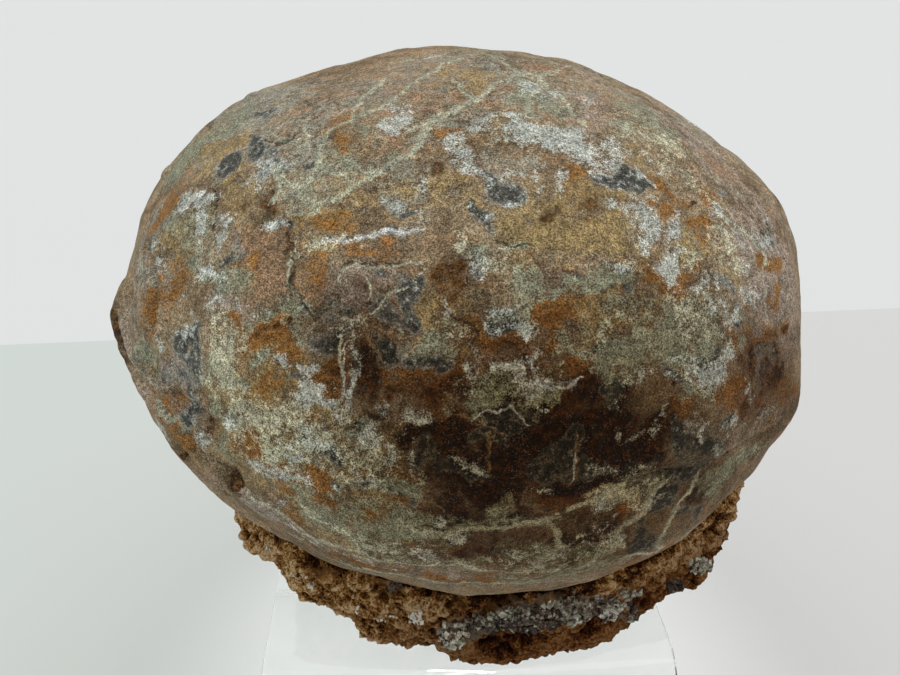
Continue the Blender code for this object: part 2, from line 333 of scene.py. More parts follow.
# Stains on the shell: (x, y, half width, half height, tilt, strength). A strength of about one
# half leaves a speckle of the colour, and one covers the place.
STAINS = {
    # The first ovals are painted shade, not a stain. They darken the front, most of all low down
    # where it turns away from the light, where the shell's own colour is darker too.
    "painted_shade_and_tone": (
        (670, 345, 60, 50, 0, 0.45), (590, 320, 50, 30, 0, 0.3), (700, 410, 60, 40, 0, 0.5),
        (560, 560, 120, 26, -10, 0.3), (640, 515, 60, 30, -30, 0.75),
        (545, 455, 180, 90, 0, 1.0), (640, 355, 90, 60, 0, 0.6), (365, 350, 50, 50, 0, 0.75),
        (560, 540, 170, 40, -8, 0.9), (470, 330, 70, 50, 0, 0.4), (745, 400, 60, 50, 0, 0.4),
        (300, 380, 50, 60, 0, 0.15), (400, 470, 50, 40, 0, 0.2), (770, 390, 40, 60, 0, 0.6),
        (460, 580, 200, 20, 3, 0.35),
        (705, 462, 42, 34, 0, 0.8), (645, 482, 54, 24, -10, 0.85), (625, 365, 44, 22, 0, 0.75),
        (450, 520, 46, 14, 0, 0.95), (500, 518, 40, 12, 0, 0.8),
    ),
    "ash": (
        (400, 180, 40, 30, 0, 0.5), (450, 125, 40, 20, -15, 0.5), (505, 160, 26, 14, 0, 0.5),
        (530, 110, 40, 14, 0, 0.4), (420, 320, 20, 16, 0, 0.4), (300, 484, 26, 12, 30, 0.5),
        (400, 578, 70, 4, 8, 0.6), (520, 584, 60, 4, -2, 0.6),
        (440, 76, 130, 18, -3, 0.6), (560, 100, 70, 22, 18, 0.5), (350, 100, 60, 20, -22, 0.55),
        (150, 262, 14, 50, 6, 0.7), (148, 365, 10, 26, -12, 0.6), (700, 130, 44, 12, 42, 0.5),
        (260, 105, 60, 20, -25, 0.8), (300, 150, 45, 42, 0, 0.6), (345, 287, 12, 10, 0, 0.7),
        (400, 326, 20, 9, 20, 0.7), (635, 105, 30, 12, 40, 0.5), (630, 385, 20, 8, 0, 0.6),
        (205, 166, 15, 9, -20, 0.5), (330, 90, 50, 14, -20, 0.4), (700, 340, 24, 14, 0, 0.5),
        (240, 420, 20, 12, 30, 0.4), (385, 395, 20, 14, 0, 0.4), (650, 470, 30, 10, -15, 0.5),
        (560, 545, 30, 14, -10, 0.5), (420, 575, 60, 5, 6, 0.6), (200, 250, 14, 20, 0, 0.4),
    ),
    "mauve": (
        (595, 112, 20, 16, 0, 0.7), (705, 150, 50, 13, 45, 0.75), (760, 245, 20, 24, 20, 0.8),
        (135, 265, 5, 25, 8, 0.6), (228, 312, 22, 12, 0, 0.85), (298, 372, 12, 10, 0, 0.5),
        (175, 365, 18, 20, 35, 0.7), (365, 285, 30, 22, 0, 0.8), (360, 350, 14, 12, 0, 0.4),
        (777, 300, 26, 80, 0, 1.0), (768, 270, 18, 36, -10, 0.9), (207, 430, 10, 16, 10, 0.7),
        (310, 535, 30, 4, 25, 0.6),
        (280, 520, 30, 6, 35, 0.6), (255, 505, 25, 8, 35, 0.8), (410, 415, 24, 14, 15, 0.6),
        (530, 508, 9, 10, 0, 0.7), (500, 548, 50, 12, 0, 0.6), (745, 435, 14, 8, -40, 0.6),
        (130, 335, 10, 34, 0, 0.7), (495, 245, 5, 5, 0, 0.5), (410, 372, 8, 9, 0, 0.6),
        (222, 483, 9, 9, 0, 0.8), (340, 550, 40, 5, 20, 0.7), (590, 75, 40, 8, 22, 0.5),
        (440, 572, 60, 5, 5, 0.6), (600, 570, 50, 8, -14, 0.5), (148, 405, 8, 26, -30, 0.5),
        (785, 390, 14, 30, 0, 0.4), (440, 60, 60, 6, -5, 0.5), (740, 190, 30, 12, 48, 0.6),
    ),
    "clay": (
        (500, 362, 34, 12, 0, 0.6), (350, 330, 30, 20, 0, 0.5), (395, 315, 30, 16, 0, 0.5),
        (240, 232, 20, 8, 0, 0.7), (430, 85, 60, 22, -10, 0.5), (545, 68, 24, 7, 0, 0.75),
        (505, 90, 18, 8, 0, 0.5), (720, 165, 25, 6, 45, 0.6), (780, 225, 12, 5, 50, 0.6),
        (262, 240, 24, 12, -10, 0.8), (255, 270, 22, 30, 0, 0.9), (275, 280, 14, 30, 0, 0.6),
        (320, 285, 26, 14, 0, 0.6), (382, 250, 32, 8, -3, 0.75), (646, 248, 6, 9, 0, 0.5),
        (760, 365, 26, 30, 0, 0.7), (170, 405, 30, 10, 50, 0.85), (530, 545, 30, 8, 0, 0.5),
        (765, 400, 30, 14, -20, 0.75), (775, 440, 18, 5, -50, 0.7), (795, 280, 6, 40, 0, 0.4),
        (600, 110, 24, 14, 0, 0.5), (350, 80, 50, 10, -20, 0.5), (610, 525, 30, 12, -20, 0.5),
        (390, 150, 40, 20, 0, 0.4), (225, 480, 14, 16, 40, 0.5), (160, 240, 6, 30, 8, 0.5),
        (150, 330, 10, 40, 5, 0.5), (700, 490, 18, 8, -35, 0.5), (470, 555, 40, 8, 3, 0.5),
    ),
    "ochre": (
        (250, 438, 26, 20, 0, 0.7), (405, 440, 30, 16, 0, 0.4),
        (255, 392, 56, 44, 0, 0.6), (300, 450, 90, 44, 20, 0.55), (215, 440, 20, 30, 40, 0.6),
        (380, 480, 60, 24, 12, 0.5), (340, 550, 44, 14, 22, 0.5),
        (218, 147, 22, 9, -15, 0.8), (205, 166, 15, 9, -20, 0.5), (235, 190, 17, 26, 0, 0.6),
        (325, 222, 34, 13, 0, 0.8), (470, 80, 30, 10, 0, 0.5), (448, 172, 10, 8, 0, 0.6),
        (400, 190, 70, 24, 0, 0.45), (565, 195, 20, 12, -25, 0.7), (640, 155, 16, 12, 20, 0.6),
        (570, 190, 24, 10, -20, 0.8), (600, 195, 22, 12, 0, 0.7), (178, 258, 12, 14, 0, 0.8),
        (232, 380, 10, 6, 0, 0.7), (250, 360, 8, 6, 0, 0.6), (265, 392, 17, 13, 0, 1.0),
        (310, 345, 14, 10, 20, 0.5), (540, 235, 36, 20, 0, 0.9), (430, 305, 12, 20, 0, 0.6),
        (463, 358, 8, 5, 0, 0.6), (590, 232, 38, 17, 0, 0.9), (635, 250, 14, 10, -20, 0.6),
        (640, 265, 20, 6, -10, 0.7), (578, 305, 22, 18, 0, 0.9), (655, 310, 22, 12, 0, 0.5),
        (690, 250, 20, 16, 0, 0.55), (728, 270, 9, 9, 0, 0.6), (160, 430, 20, 5, 50, 0.5),
        (233, 432, 7, 8, 0, 0.7), (245, 465, 14, 8, 50, 0.7), (312, 413, 17, 8, 0, 0.95),
        (358, 455, 12, 14, 0, 0.8), (350, 485, 14, 6, 0, 0.6), (378, 506, 17, 10, 0, 1.0),
        (365, 455, 16, 12, 0, 0.6), (705, 400, 14, 5, -55, 0.8), (460, 312, 24, 12, 0, 0.6),
        (340, 200, 30, 12, 0, 0.5), (500, 130, 20, 8, 0, 0.4), (520, 200, 30, 16, 0, 0.6),
        (600, 330, 20, 12, 0, 0.6), (420, 525, 20, 8, 10, 0.5), (345, 500, 24, 8, 15, 0.5),
        (335, 160, 20, 16, 0, 0.35), (470, 205, 30, 12, 0, 0.5), (330, 250, 20, 8, 0, 0.6),
        (255, 480, 20, 8, 40, 0.6), (560, 345, 20, 10, 0, 0.5), (700, 300, 14, 14, 0, 0.4),
    ),
    "rust": (
        (360, 562, 50, 3, 12, 0.7), (470, 579, 50, 3, 4, 0.6), (600, 572, 40, 3, -14, 0.6),
        (165, 215, 7, 30, 20, 0.55), (330, 225, 28, 9, 0, 0.55), (350, 132, 14, 14, 0, 0.5),
        (455, 134, 16, 4, -10, 0.45), (655, 190, 12, 8, 30, 0.75), (672, 200, 10, 5, 50, 0.5),
        (578, 178, 16, 10, -20, 0.6), (660, 215, 12, 7, 30, 0.55), (688, 228, 7, 5, 0, 0.9),
        (710, 229, 13, 8, 20, 0.95), (712, 195, 13, 7, 40, 0.65), (150, 245, 4, 18, 5, 0.6),
        (175, 285, 10, 18, 5, 0.6), (151, 308, 8, 14, 0, 0.6), (243, 264, 12, 10, -35, 0.65),
        (228, 253, 8, 5, 0, 0.55), (318, 272, 22, 14, 0, 0.5), (255, 335, 16, 10, 10, 0.95),
        (272, 350, 16, 10, 30, 0.95), (281, 361, 8, 6, 30, 0.85), (270, 390, 10, 8, 0, 0.5),
        (327, 365, 12, 20, 5, 0.95), (322, 390, 12, 9, 0, 0.95), (385, 250, 24, 6, 0, 0.5),
        (540, 262, 14, 4, 0, 0.5), (450, 285, 14, 12, 0, 0.45), (490, 345, 21, 9, 15, 1.0),
        (480, 330, 16, 8, 20, 0.65), (543, 297, 10, 8, 0, 0.95), (530, 315, 10, 14, 0, 0.65),
        (550, 327, 14, 12, 0, 1.0), (549, 350, 7, 5, -20, 0.75), (385, 368, 10, 10, 30, 0.85),
        (430, 372, 20, 12, 20, 0.95), (655, 285, 10, 8, -10, 0.65), (672, 292, 9, 9, 0, 0.75),
        (650, 270, 6, 8, 0, 0.55), (560, 300, 14, 10, 0, 0.5), (691, 277, 9, 6, 0, 0.65),
        (772, 266, 9, 5, -35, 1.0), (766, 296, 4, 6, 0, 0.8), (771, 330, 7, 10, 20, 0.85),
        (747, 305, 6, 8, 0, 0.6), (750, 350, 14, 14, 0, 0.45), (725, 345, 6, 7, 0, 0.55),
        (733, 392, 12, 10, -30, 0.75), (588, 370, 18, 10, 0, 0.9), (163, 395, 14, 6, 45, 0.65),
        (185, 440, 25, 6, 45, 0.6), (236, 435, 5, 6, 0, 0.6), (262, 450, 26, 12, 50, 0.95),
        (303, 425, 10, 6, 60, 0.65), (330, 425, 7, 9, 0, 0.95), (352, 447, 8, 6, 0, 0.5),
        (362, 465, 8, 8, 0, 0.5), (284, 483, 8, 10, -30, 0.75), (318, 488, 18, 9, 10, 0.9),
        (290, 512, 22, 8, 40, 0.9), (415, 388, 24, 14, 0, 0.6), (355, 445, 8, 10, 0, 0.45),
        (404, 468, 14, 8, 25, 0.8), (385, 505, 10, 7, 0, 0.55), (412, 512, 8, 8, 0, 0.6),
        (425, 505, 14, 8, 0, 0.5), (560, 400, 60, 12, 0, 0.55), (510, 465, 30, 10, 0, 0.55),
        (440, 400, 24, 12, 20, 0.65), (580, 495, 30, 6, -12, 0.75), (620, 505, 16, 7, -15, 0.5),
        (707, 450, 8, 7, 0, 0.55), (692, 415, 16, 8, -45, 0.55), (678, 420, 14, 8, -30, 0.65),
        (750, 400, 24, 10, -30, 0.45), (785, 385, 12, 16, 10, 0.55), (776, 290, 2, 20, 10, 0.7),
        (655, 445, 30, 12, 0, 0.45), (590, 445, 18, 12, 0, 0.5), (440, 545, 40, 6, 5, 0.4),
    ),
    "umber": (
        (455, 520, 30, 10, 0, 0.8), (505, 522, 30, 8, 0, 0.7),
        (209, 127, 7, 4, -40, 0.65), (255, 205, 15, 10, 15, 0.6), (432, 168, 12, 8, 30, 0.5),
        (531, 195, 4, 6, 0, 0.6), (545, 210, 18, 10, -20, 0.45), (600, 205, 18, 12, 0, 0.45),
        (682, 198, 5, 4, 20, 0.9), (764, 229, 6, 3, 35, 0.95), (287, 250, 4, 16, 0, 0.65),
        (288, 285, 4, 18, 0, 0.6), (322, 328, 18, 12, 10, 0.55), (287, 325, 4, 3, 0, 0.8),
        (290, 333, 3, 2, 0, 0.8), (268, 338, 12, 6, 0, 0.5), (330, 368, 7, 12, 5, 0.65),
        (322, 390, 7, 6, 0, 0.6), (192, 390, 8, 8, 0, 0.55), (121, 320, 3, 22, 0, 0.7),
        (128, 358, 5, 14, -15, 0.7), (552, 268, 22, 5, 0, 0.45), (455, 280, 22, 18, 15, 0.45),
        (508, 352, 11, 10, 0, 0.65), (550, 328, 10, 9, 0, 0.5), (365, 300, 28, 14, 0, 0.3),
        (395, 350, 24, 13, 5, 0.55), (360, 368, 18, 28, 0, 0.85), (440, 380, 20, 9, 20, 0.6),
        (750, 322, 7, 6, 0, 0.6), (765, 370, 20, 22, 0, 0.55), (772, 333, 7, 8, 20, 0.55),
        (590, 388, 20, 12, 0, 0.85), (368, 410, 16, 9, -10, 0.8), (418, 442, 20, 8, 10, 0.85),
        (500, 400, 60, 16, 10, 0.75), (540, 440, 62, 30, 0, 1.0), (490, 460, 40, 30, 0, 0.9),
        (455, 430, 30, 24, 0, 0.85), (600, 412, 40, 22, 0, 0.8), (630, 450, 50, 24, -10, 0.9),
        (480, 487, 42, 12, 0, 0.95), (590, 485, 40, 9, -8, 0.95), (440, 508, 22, 12, 0, 0.7),
        (515, 505, 5, 10, 0, 0.9), (478, 512, 26, 9, 0, 0.6), (425, 530, 6, 4, 30, 0.85),
        (500, 550, 50, 12, 0, 0.5), (590, 528, 32, 14, -15, 0.6), (705, 490, 16, 9, -35, 0.65),
        (233, 472, 10, 6, 50, 0.95), (232, 487, 4, 6, 0, 0.8), (245, 480, 6, 4, 0, 0.6),
        (183, 453, 4, 6, -20, 1.0), (705, 452, 10, 8, 0, 0.65), (758, 405, 10, 14, 0, 0.45),
        (410, 392, 30, 14, 10, 0.5), (640, 430, 40, 10, 0, 0.6), (675, 400, 14, 10, 0, 0.4),
        (560, 555, 40, 12, -8, 0.45), (207, 430, 9, 14, 10, 0.5), (640, 262, 14, 8, 0, 0.35),
        (520, 372, 30, 6, 0, 0.4), (700, 430, 30, 10, -30, 0.4), (215, 405, 16, 6, 40, 0.4),
    ),
    "sage": (
        (500, 386, 46, 13, 0, 0.6), (350, 440, 40, 24, 10, 0.5), (560, 556, 40, 14, -6, 0.6),
        (230, 118, 30, 10, -35, 0.6), (182, 160, 24, 9, -48, 0.95), (530, 95, 12, 20, 10, 0.55),
        (545, 110, 15, 12, 0, 0.5), (430, 125, 30, 8, -30, 0.45), (640, 115, 30, 12, 40, 0.55),
        (176, 235, 12, 14, 10, 0.65), (192, 268, 5, 22, 5, 0.6), (215, 282, 15, 14, 0, 0.65),
        (222, 278, 20, 18, 0, 0.75), (285, 322, 16, 10, 0, 0.65), (255, 322, 14, 7, 0, 0.75),
        (215, 365, 14, 14, 0, 0.55), (235, 368, 12, 10, 0, 0.65), (254, 370, 9, 8, 0, 0.7),
        (152, 352, 8, 12, 0, 0.7), (475, 250, 14, 14, 0, 0.65), (530, 262, 20, 12, -20, 0.55),
        (522, 310, 7, 14, 10, 0.7), (445, 335, 15, 15, 0, 0.65), (395, 322, 14, 6, 0, 0.5),
        (600, 285, 50, 12, 0, 0.75), (670, 335, 36, 24, 0, 0.75), (640, 350, 30, 16, 0, 0.7),
        (575, 350, 22, 7, -5, 0.6), (215, 405, 20, 10, 40, 0.55), (228, 447, 10, 10, 20, 0.75),
        (290, 455, 16, 18, 0, 0.75), (320, 520, 40, 10, 25, 0.85), (350, 515, 30, 14, 10, 0.6),
        (400, 488, 22, 8, 8, 1.0), (502, 505, 10, 10, 0, 0.75), (390, 530, 34, 12, 12, 0.8),
        (505, 550, 6, 6, 0, 0.55), (722, 478, 18, 9, -40, 0.85), (745, 455, 16, 8, -40, 0.65),
        (640, 478, 14, 8, -15, 0.65), (470, 55, 60, 6, 0, 0.5), (590, 65, 30, 6, 20, 0.45),
        (620, 320, 30, 12, 0, 0.5), (650, 370, 40, 16, 0, 0.65), (520, 130, 30, 14, 0, 0.4),
        (440, 560, 60, 5, 6, 0.6), (570, 575, 60, 6, -8, 0.65), (670, 545, 30, 6, -32, 0.6),
        (360, 155, 30, 20, 0, 0.35), (300, 190, 24, 16, 0, 0.45), (500, 300, 20, 20, 0, 0.4),
        (205, 225, 20, 20, 0, 0.5), (695, 385, 10, 14, 0, 0.5), (380, 475, 20, 8, 0, 0.5),
        (620, 375, 14, 20, 0, 0.55), (740, 330, 8, 24, 0, 0.4), (480, 525, 40, 5, 0, 0.5),
        (690, 320, 20, 20, 0, 0.5), (270, 215, 20, 8, 0, 0.4), (600, 160, 10, 8, 0, 0.4),
    ),
    "cream": (
        (660, 145, 30, 9, 45, 0.55), (700, 185, 30, 6, 50, 0.5), (297, 250, 3, 12, 0, 0.6),
        (220, 350, 20, 24, 0, 0.8), (449, 248, 5, 8, 0, 0.6), (510, 252, 22, 5, -5, 0.65),
        (497, 265, 10, 10, 0, 0.55), (520, 335, 12, 10, 0, 0.6), (420, 277, 7, 3, -20, 0.55),
        (613, 330, 6, 8, 10, 0.55), (690, 310, 8, 16, -30, 0.5), (728, 245, 14, 12, 0, 0.55),
        (710, 385, 8, 12, -30, 0.6), (562, 368, 8, 8, -45, 0.6), (262, 415, 36, 12, 10, 0.85),
        (240, 430, 14, 14, 0, 0.55), (330, 527, 40, 3, 22, 0.65), (375, 445, 24, 16, 10, 0.6),
        (425, 478, 6, 8, 0, 0.65), (600, 498, 24, 5, -10, 0.8), (630, 490, 14, 6, -5, 1.0),
        (651, 503, 7, 8, -30, 0.85), (655, 487, 9, 5, -30, 0.65), (630, 130, 20, 8, 45, 0.5),
        (700, 262, 20, 10, 20, 0.5), (585, 215, 16, 6, 0, 0.4), (340, 245, 24, 5, 0, 0.5),
        (235, 395, 10, 10, 0, 0.6), (290, 400, 8, 8, 0, 0.5), (355, 265, 16, 4, 0, 0.5),
        (470, 340, 12, 6, 20, 0.5), (730, 225, 14, 6, 40, 0.45), (205, 345, 8, 16, 0, 0.5),
        (600, 540, 12, 14, -30, 0.5), (380, 545, 30, 4, 20, 0.5), (715, 170, 30, 4, 46, 0.4),
        (610, 262, 16, 6, 0, 0.5), (480, 565, 40, 3, 2, 0.6), (500, 240, 14, 8, 0, 0.4),
        (300, 440, 40, 22, 20, 0.6), (225, 375, 26, 20, 0, 0.5), (255, 440, 16, 18, 30, 0.6),
        (350, 470, 26, 12, 15, 0.6), (285, 470, 24, 14, 30, 0.5), (310, 400, 26, 10, 0, 0.6),
    ),
    "slate": (
        (226, 168, 13, 5, -45, 0.8), (258, 149, 13, 10, 0, 0.9), (257, 117, 5, 8, 0, 0.7),
        (268, 114, 5, 3, 0, 0.7), (276, 170, 15, 9, 15, 0.5), (284, 224, 15, 6, -5, 0.55),
        (487, 170, 13, 7, 35, 0.9), (500, 187, 13, 9, 25, 1.0), (402, 206, 9, 5, 20, 0.5),
        (478, 212, 17, 7, 15, 0.75), (613, 168, 9, 9, 40, 1.0), (630, 183, 10, 6, 35, 1.0),
        (728, 198, 12, 4, 50, 0.65), (222, 290, 14, 8, 0, 0.45), (223, 250, 9, 5, -30, 0.6),
        (235, 240, 10, 8, 0, 0.45), (322, 328, 22, 13, 10, 0.6), (255, 372, 5, 4, 0, 0.6),
        (292, 387, 10, 5, 0, 0.6), (347, 365, 5, 10, 0, 0.5), (184, 333, 9, 10, 0, 0.85),
        (185, 370, 16, 14, 40, 0.55), (190, 354, 9, 5, 10, 0.75), (400, 234, 16, 5, 0, 0.55),
        (470, 270, 6, 6, 0, 0.5), (489, 228, 9, 7, 30, 0.7), (545, 285, 9, 6, 0, 0.5),
        (500, 305, 8, 10, -20, 0.85), (505, 325, 9, 9, 35, 0.85), (347, 309, 12, 6, 0, 0.7),
        (411, 287, 10, 8, 0, 0.85), (412, 306, 8, 9, 0, 0.9), (388, 308, 14, 7, 20, 0.6),
        (390, 270, 7, 5, 40, 0.6), (372, 331, 8, 6, 20, 0.85), (395, 350, 20, 12, 5, 0.9),
        (425, 352, 12, 9, 20, 0.95), (590, 295, 12, 10, 0, 0.4), (625, 297, 9, 7, 0, 0.6),
        (630, 307, 9, 5, 0, 0.6), (734, 303, 7, 6, 0, 0.75), (733, 327, 7, 5, -20, 0.7),
        (720, 285, 14, 8, 30, 0.5), (700, 256, 10, 2, 50, 0.7), (765, 358, 7, 5, 0, 0.6),
        (706, 356, 6, 9, 10, 0.95), (670, 358, 5, 4, 0, 0.95), (665, 372, 8, 8, 0, 0.75),
        (675, 388, 7, 8, 0, 0.75), (690, 385, 8, 6, 0, 0.7), (610, 346, 7, 7, 0, 0.85),
        (608, 372, 7, 12, 0, 0.7), (190, 414, 6, 17, 0, 0.75), (316, 442, 12, 9, 20, 0.85),
        (330, 455, 14, 5, 20, 0.85), (350, 488, 12, 4, 0, 0.6), (358, 420, 8, 6, 0, 0.6),
        (392, 452, 6, 4, 0, 0.5), (440, 452, 9, 7, 0, 0.95), (437, 465, 14, 8, 10, 0.95),
        (470, 466, 9, 7, -10, 0.8), (375, 474, 10, 5, 0, 0.5), (383, 492, 18, 3, 25, 0.9),
        (402, 505, 7, 6, 0, 0.7), (500, 418, 13, 9, 10, 0.95), (513, 414, 10, 9, -20, 1.0),
        (483, 415, 8, 7, 30, 0.85), (560, 443, 15, 11, -10, 1.0), (560, 468, 16, 9, -10, 0.95),
        (538, 465, 8, 8, 0, 0.7), (585, 468, 8, 14, 0, 0.75), (445, 533, 8, 3, 0, 0.6),
        (668, 492, 9, 10, -35, 1.0), (663, 505, 9, 7, -20, 0.8), (640, 548, 18, 9, -15, 0.95),
        (645, 530, 9, 8, -30, 0.65), (695, 512, 9, 12, -40, 0.5), (690, 445, 9, 16, 10, 0.75),
        (715, 450, 12, 12, -30, 0.65), (733, 425, 12, 5, -40, 0.65), (690, 468, 22, 7, -15, 0.85),
        (612, 400, 6, 14, 0, 0.7), (278, 483, 6, 4, 0, 0.5), (400, 535, 20, 5, 0, 0.45),
        (640, 462, 20, 6, -15, 0.5), (560, 275, 20, 6, 0, 0.4), (455, 265, 8, 6, 0, 0.4),
        (310, 172, 12, 8, 0, 0.4), (768, 240, 6, 6, 0, 0.5), (735, 345, 8, 8, 0, 0.4),
    ),
    "frost": (
        (550, 560, 30, 8, -5, 0.5), (350, 556, 50, 3, 16, 0.5),
        (545, 92, 20, 8, 10, 0.5), (205, 440, 14, 12, 40, 0.5), (352, 322, 10, 8, 0, 0.5),
        (193, 202, 19, 10, -35, 0.85), (158, 209, 9, 4, -45, 0.6), (192, 232, 6, 11, 0, 0.8),
        (222, 224, 12, 5, -45, 0.8), (212, 233, 5, 4, -45, 0.6), (276, 170, 14, 8, 0, 0.5),
        (254, 189, 6, 9, 0, 0.6), (280, 222, 20, 7, -5, 0.7), (428, 57, 10, 4, 0, 0.6),
        (508, 66, 10, 5, 20, 0.5), (397, 111, 15, 8, -10, 0.85), (389, 125, 6, 8, 0, 0.85),
        (478, 126, 12, 5, 0, 0.75), (522, 131, 22, 8, 12, 0.95), (558, 138, 20, 12, 15, 1.0),
        (577, 150, 12, 9, 30, 0.9), (458, 149, 11, 10, 0, 0.9), (472, 150, 9, 8, 35, 0.75),
        (475, 165, 12, 5, 40, 0.65), (505, 168, 8, 5, 0, 0.6), (512, 190, 5, 7, 0, 0.65),
        (395, 198, 10, 4, 10, 0.7), (410, 208, 6, 5, 0, 0.6), (423, 187, 4, 6, 0, 0.7),
        (531, 178, 6, 4, 0, 0.85), (530, 190, 5, 10, 5, 0.65), (537, 168, 4, 8, 20, 0.65),
        (562, 184, 8, 9, 0, 0.6), (465, 204, 10, 3, 10, 0.75), (490, 216, 9, 4, 0, 0.7),
        (590, 110, 12, 7, 0, 0.45), (650, 150, 24, 5, 50, 0.5), (606, 152, 14, 7, 10, 0.9),
        (601, 163, 5, 9, 0, 0.8), (640, 182, 4, 12, -35, 0.6), (616, 186, 14, 4, 40, 0.65),
        (632, 210, 12, 8, 10, 0.65), (640, 228, 12, 12, 0, 0.85), (610, 205, 8, 6, 0, 0.55),
        (668, 228, 6, 14, 5, 0.8), (722, 216, 14, 6, 45, 0.65), (755, 240, 16, 18, 20, 0.55),
        (146, 268, 3, 12, 0, 0.5), (160, 262, 3, 16, 5, 0.6), (208, 272, 9, 12, -35, 0.8),
        (192, 291, 8, 3, -45, 0.9), (222, 305, 18, 9, 5, 0.6), (246, 312, 12, 8, 0, 0.6),
        (298, 372, 12, 9, 0, 0.75), (276, 370, 5, 7, -30, 0.7), (345, 350, 5, 14, 0, 0.75),
        (344, 385, 6, 14, 0, 0.85), (180, 326, 8, 4, -30, 0.6), (163, 330, 3, 14, 0, 0.5),
        (148, 375, 3, 8, -20, 0.6), (395, 228, 18, 4, -5, 0.6), (473, 266, 9, 12, 20, 0.6),
        (454, 309, 11, 4, 30, 0.7), (495, 300, 12, 8, -30, 0.75), (515, 333, 14, 7, 35, 0.85),
        (492, 318, 6, 8, 0, 0.6), (455, 370, 16, 6, 15, 0.85), (475, 362, 10, 8, 30, 0.6),
        (480, 375, 10, 4, 0, 0.8), (500, 377, 10, 4, 0, 0.7), (517, 381, 10, 6, 0, 0.9),
        (533, 370, 5, 9, 20, 0.8), (608, 268, 18, 8, 10, 0.65), (655, 263, 5, 4, 0, 0.8),
        (672, 270, 11, 13, 0, 0.9), (708, 288, 12, 8, 20, 0.7), (722, 318, 12, 12, 10, 0.7),
        (728, 305, 8, 6, 0, 0.6), (738, 279, 8, 4, 0, 0.7), (750, 290, 8, 12, -10, 0.6),
        (715, 365, 10, 16, 10, 0.8), (693, 368, 6, 10, 0, 0.6), (672, 390, 3, 10, 0, 0.7),
        (676, 363, 6, 3, 0, 0.6), (632, 390, 14, 5, 0, 0.6), (755, 388, 9, 3, 0, 0.7),
        (186, 405, 4, 12, 0, 0.6), (160, 427, 14, 3, 60, 0.7), (231, 425, 8, 5, 40, 0.6),
        (305, 398, 16, 7, 0, 0.95), (293, 410, 8, 7, 0, 0.8), (325, 405, 10, 9, 0, 0.7),
        (325, 446, 18, 6, 25, 0.75), (295, 466, 10, 6, 20, 0.8), (292, 440, 8, 8, 0, 0.6),
        (273, 478, 9, 6, 20, 0.9), (300, 490, 12, 6, 30, 0.7), (382, 405, 9, 7, 45, 0.6),
        (418, 425, 12, 10, 0, 0.55), (367, 430, 9, 7, 0, 0.8), (388, 449, 10, 7, 30, 0.7),
        (420, 458, 7, 8, 30, 0.55), (473, 460, 8, 5, 0, 0.6), (370, 470, 8, 8, 0, 0.5),
        (387, 498, 10, 2, 25, 0.6), (575, 410, 6, 6, 0, 0.55), (530, 403, 4, 4, 0, 0.6),
        (527, 491, 10, 5, 0, 0.7), (525, 505, 6, 8, 0, 0.55), (445, 532, 18, 4, 8, 0.75),
        (425, 552, 14, 5, 35, 0.7), (645, 388, 22, 8, 0, 0.55), (614, 410, 6, 5, 0, 0.7),
        (659, 430, 5, 9, 0, 0.7), (620, 432, 6, 4, 0, 0.7), (638, 434, 12, 4, 10, 0.6),
        (700, 430, 8, 6, 0, 0.6), (735, 430, 14, 6, -40, 0.75), (613, 510, 8, 10, 0, 0.65),
        (605, 530, 8, 14, 0, 0.5), (765, 420, 10, 8, -20, 0.6), (280, 520, 26, 4, 35, 0.6),
        (348, 491, 8, 3, 0, 0.5), (404, 345, 6, 3, 0, 0.4), (690, 350, 8, 10, 0, 0.5),
        (555, 488, 14, 4, -10, 0.5), (600, 470, 12, 6, 0, 0.45), (640, 465, 12, 5, -10, 0.45),
        (320, 545, 30, 3, 25, 0.5), (720, 450, 8, 8, 0, 0.5), (690, 130, 30, 4, 45, 0.4),
    ),
}

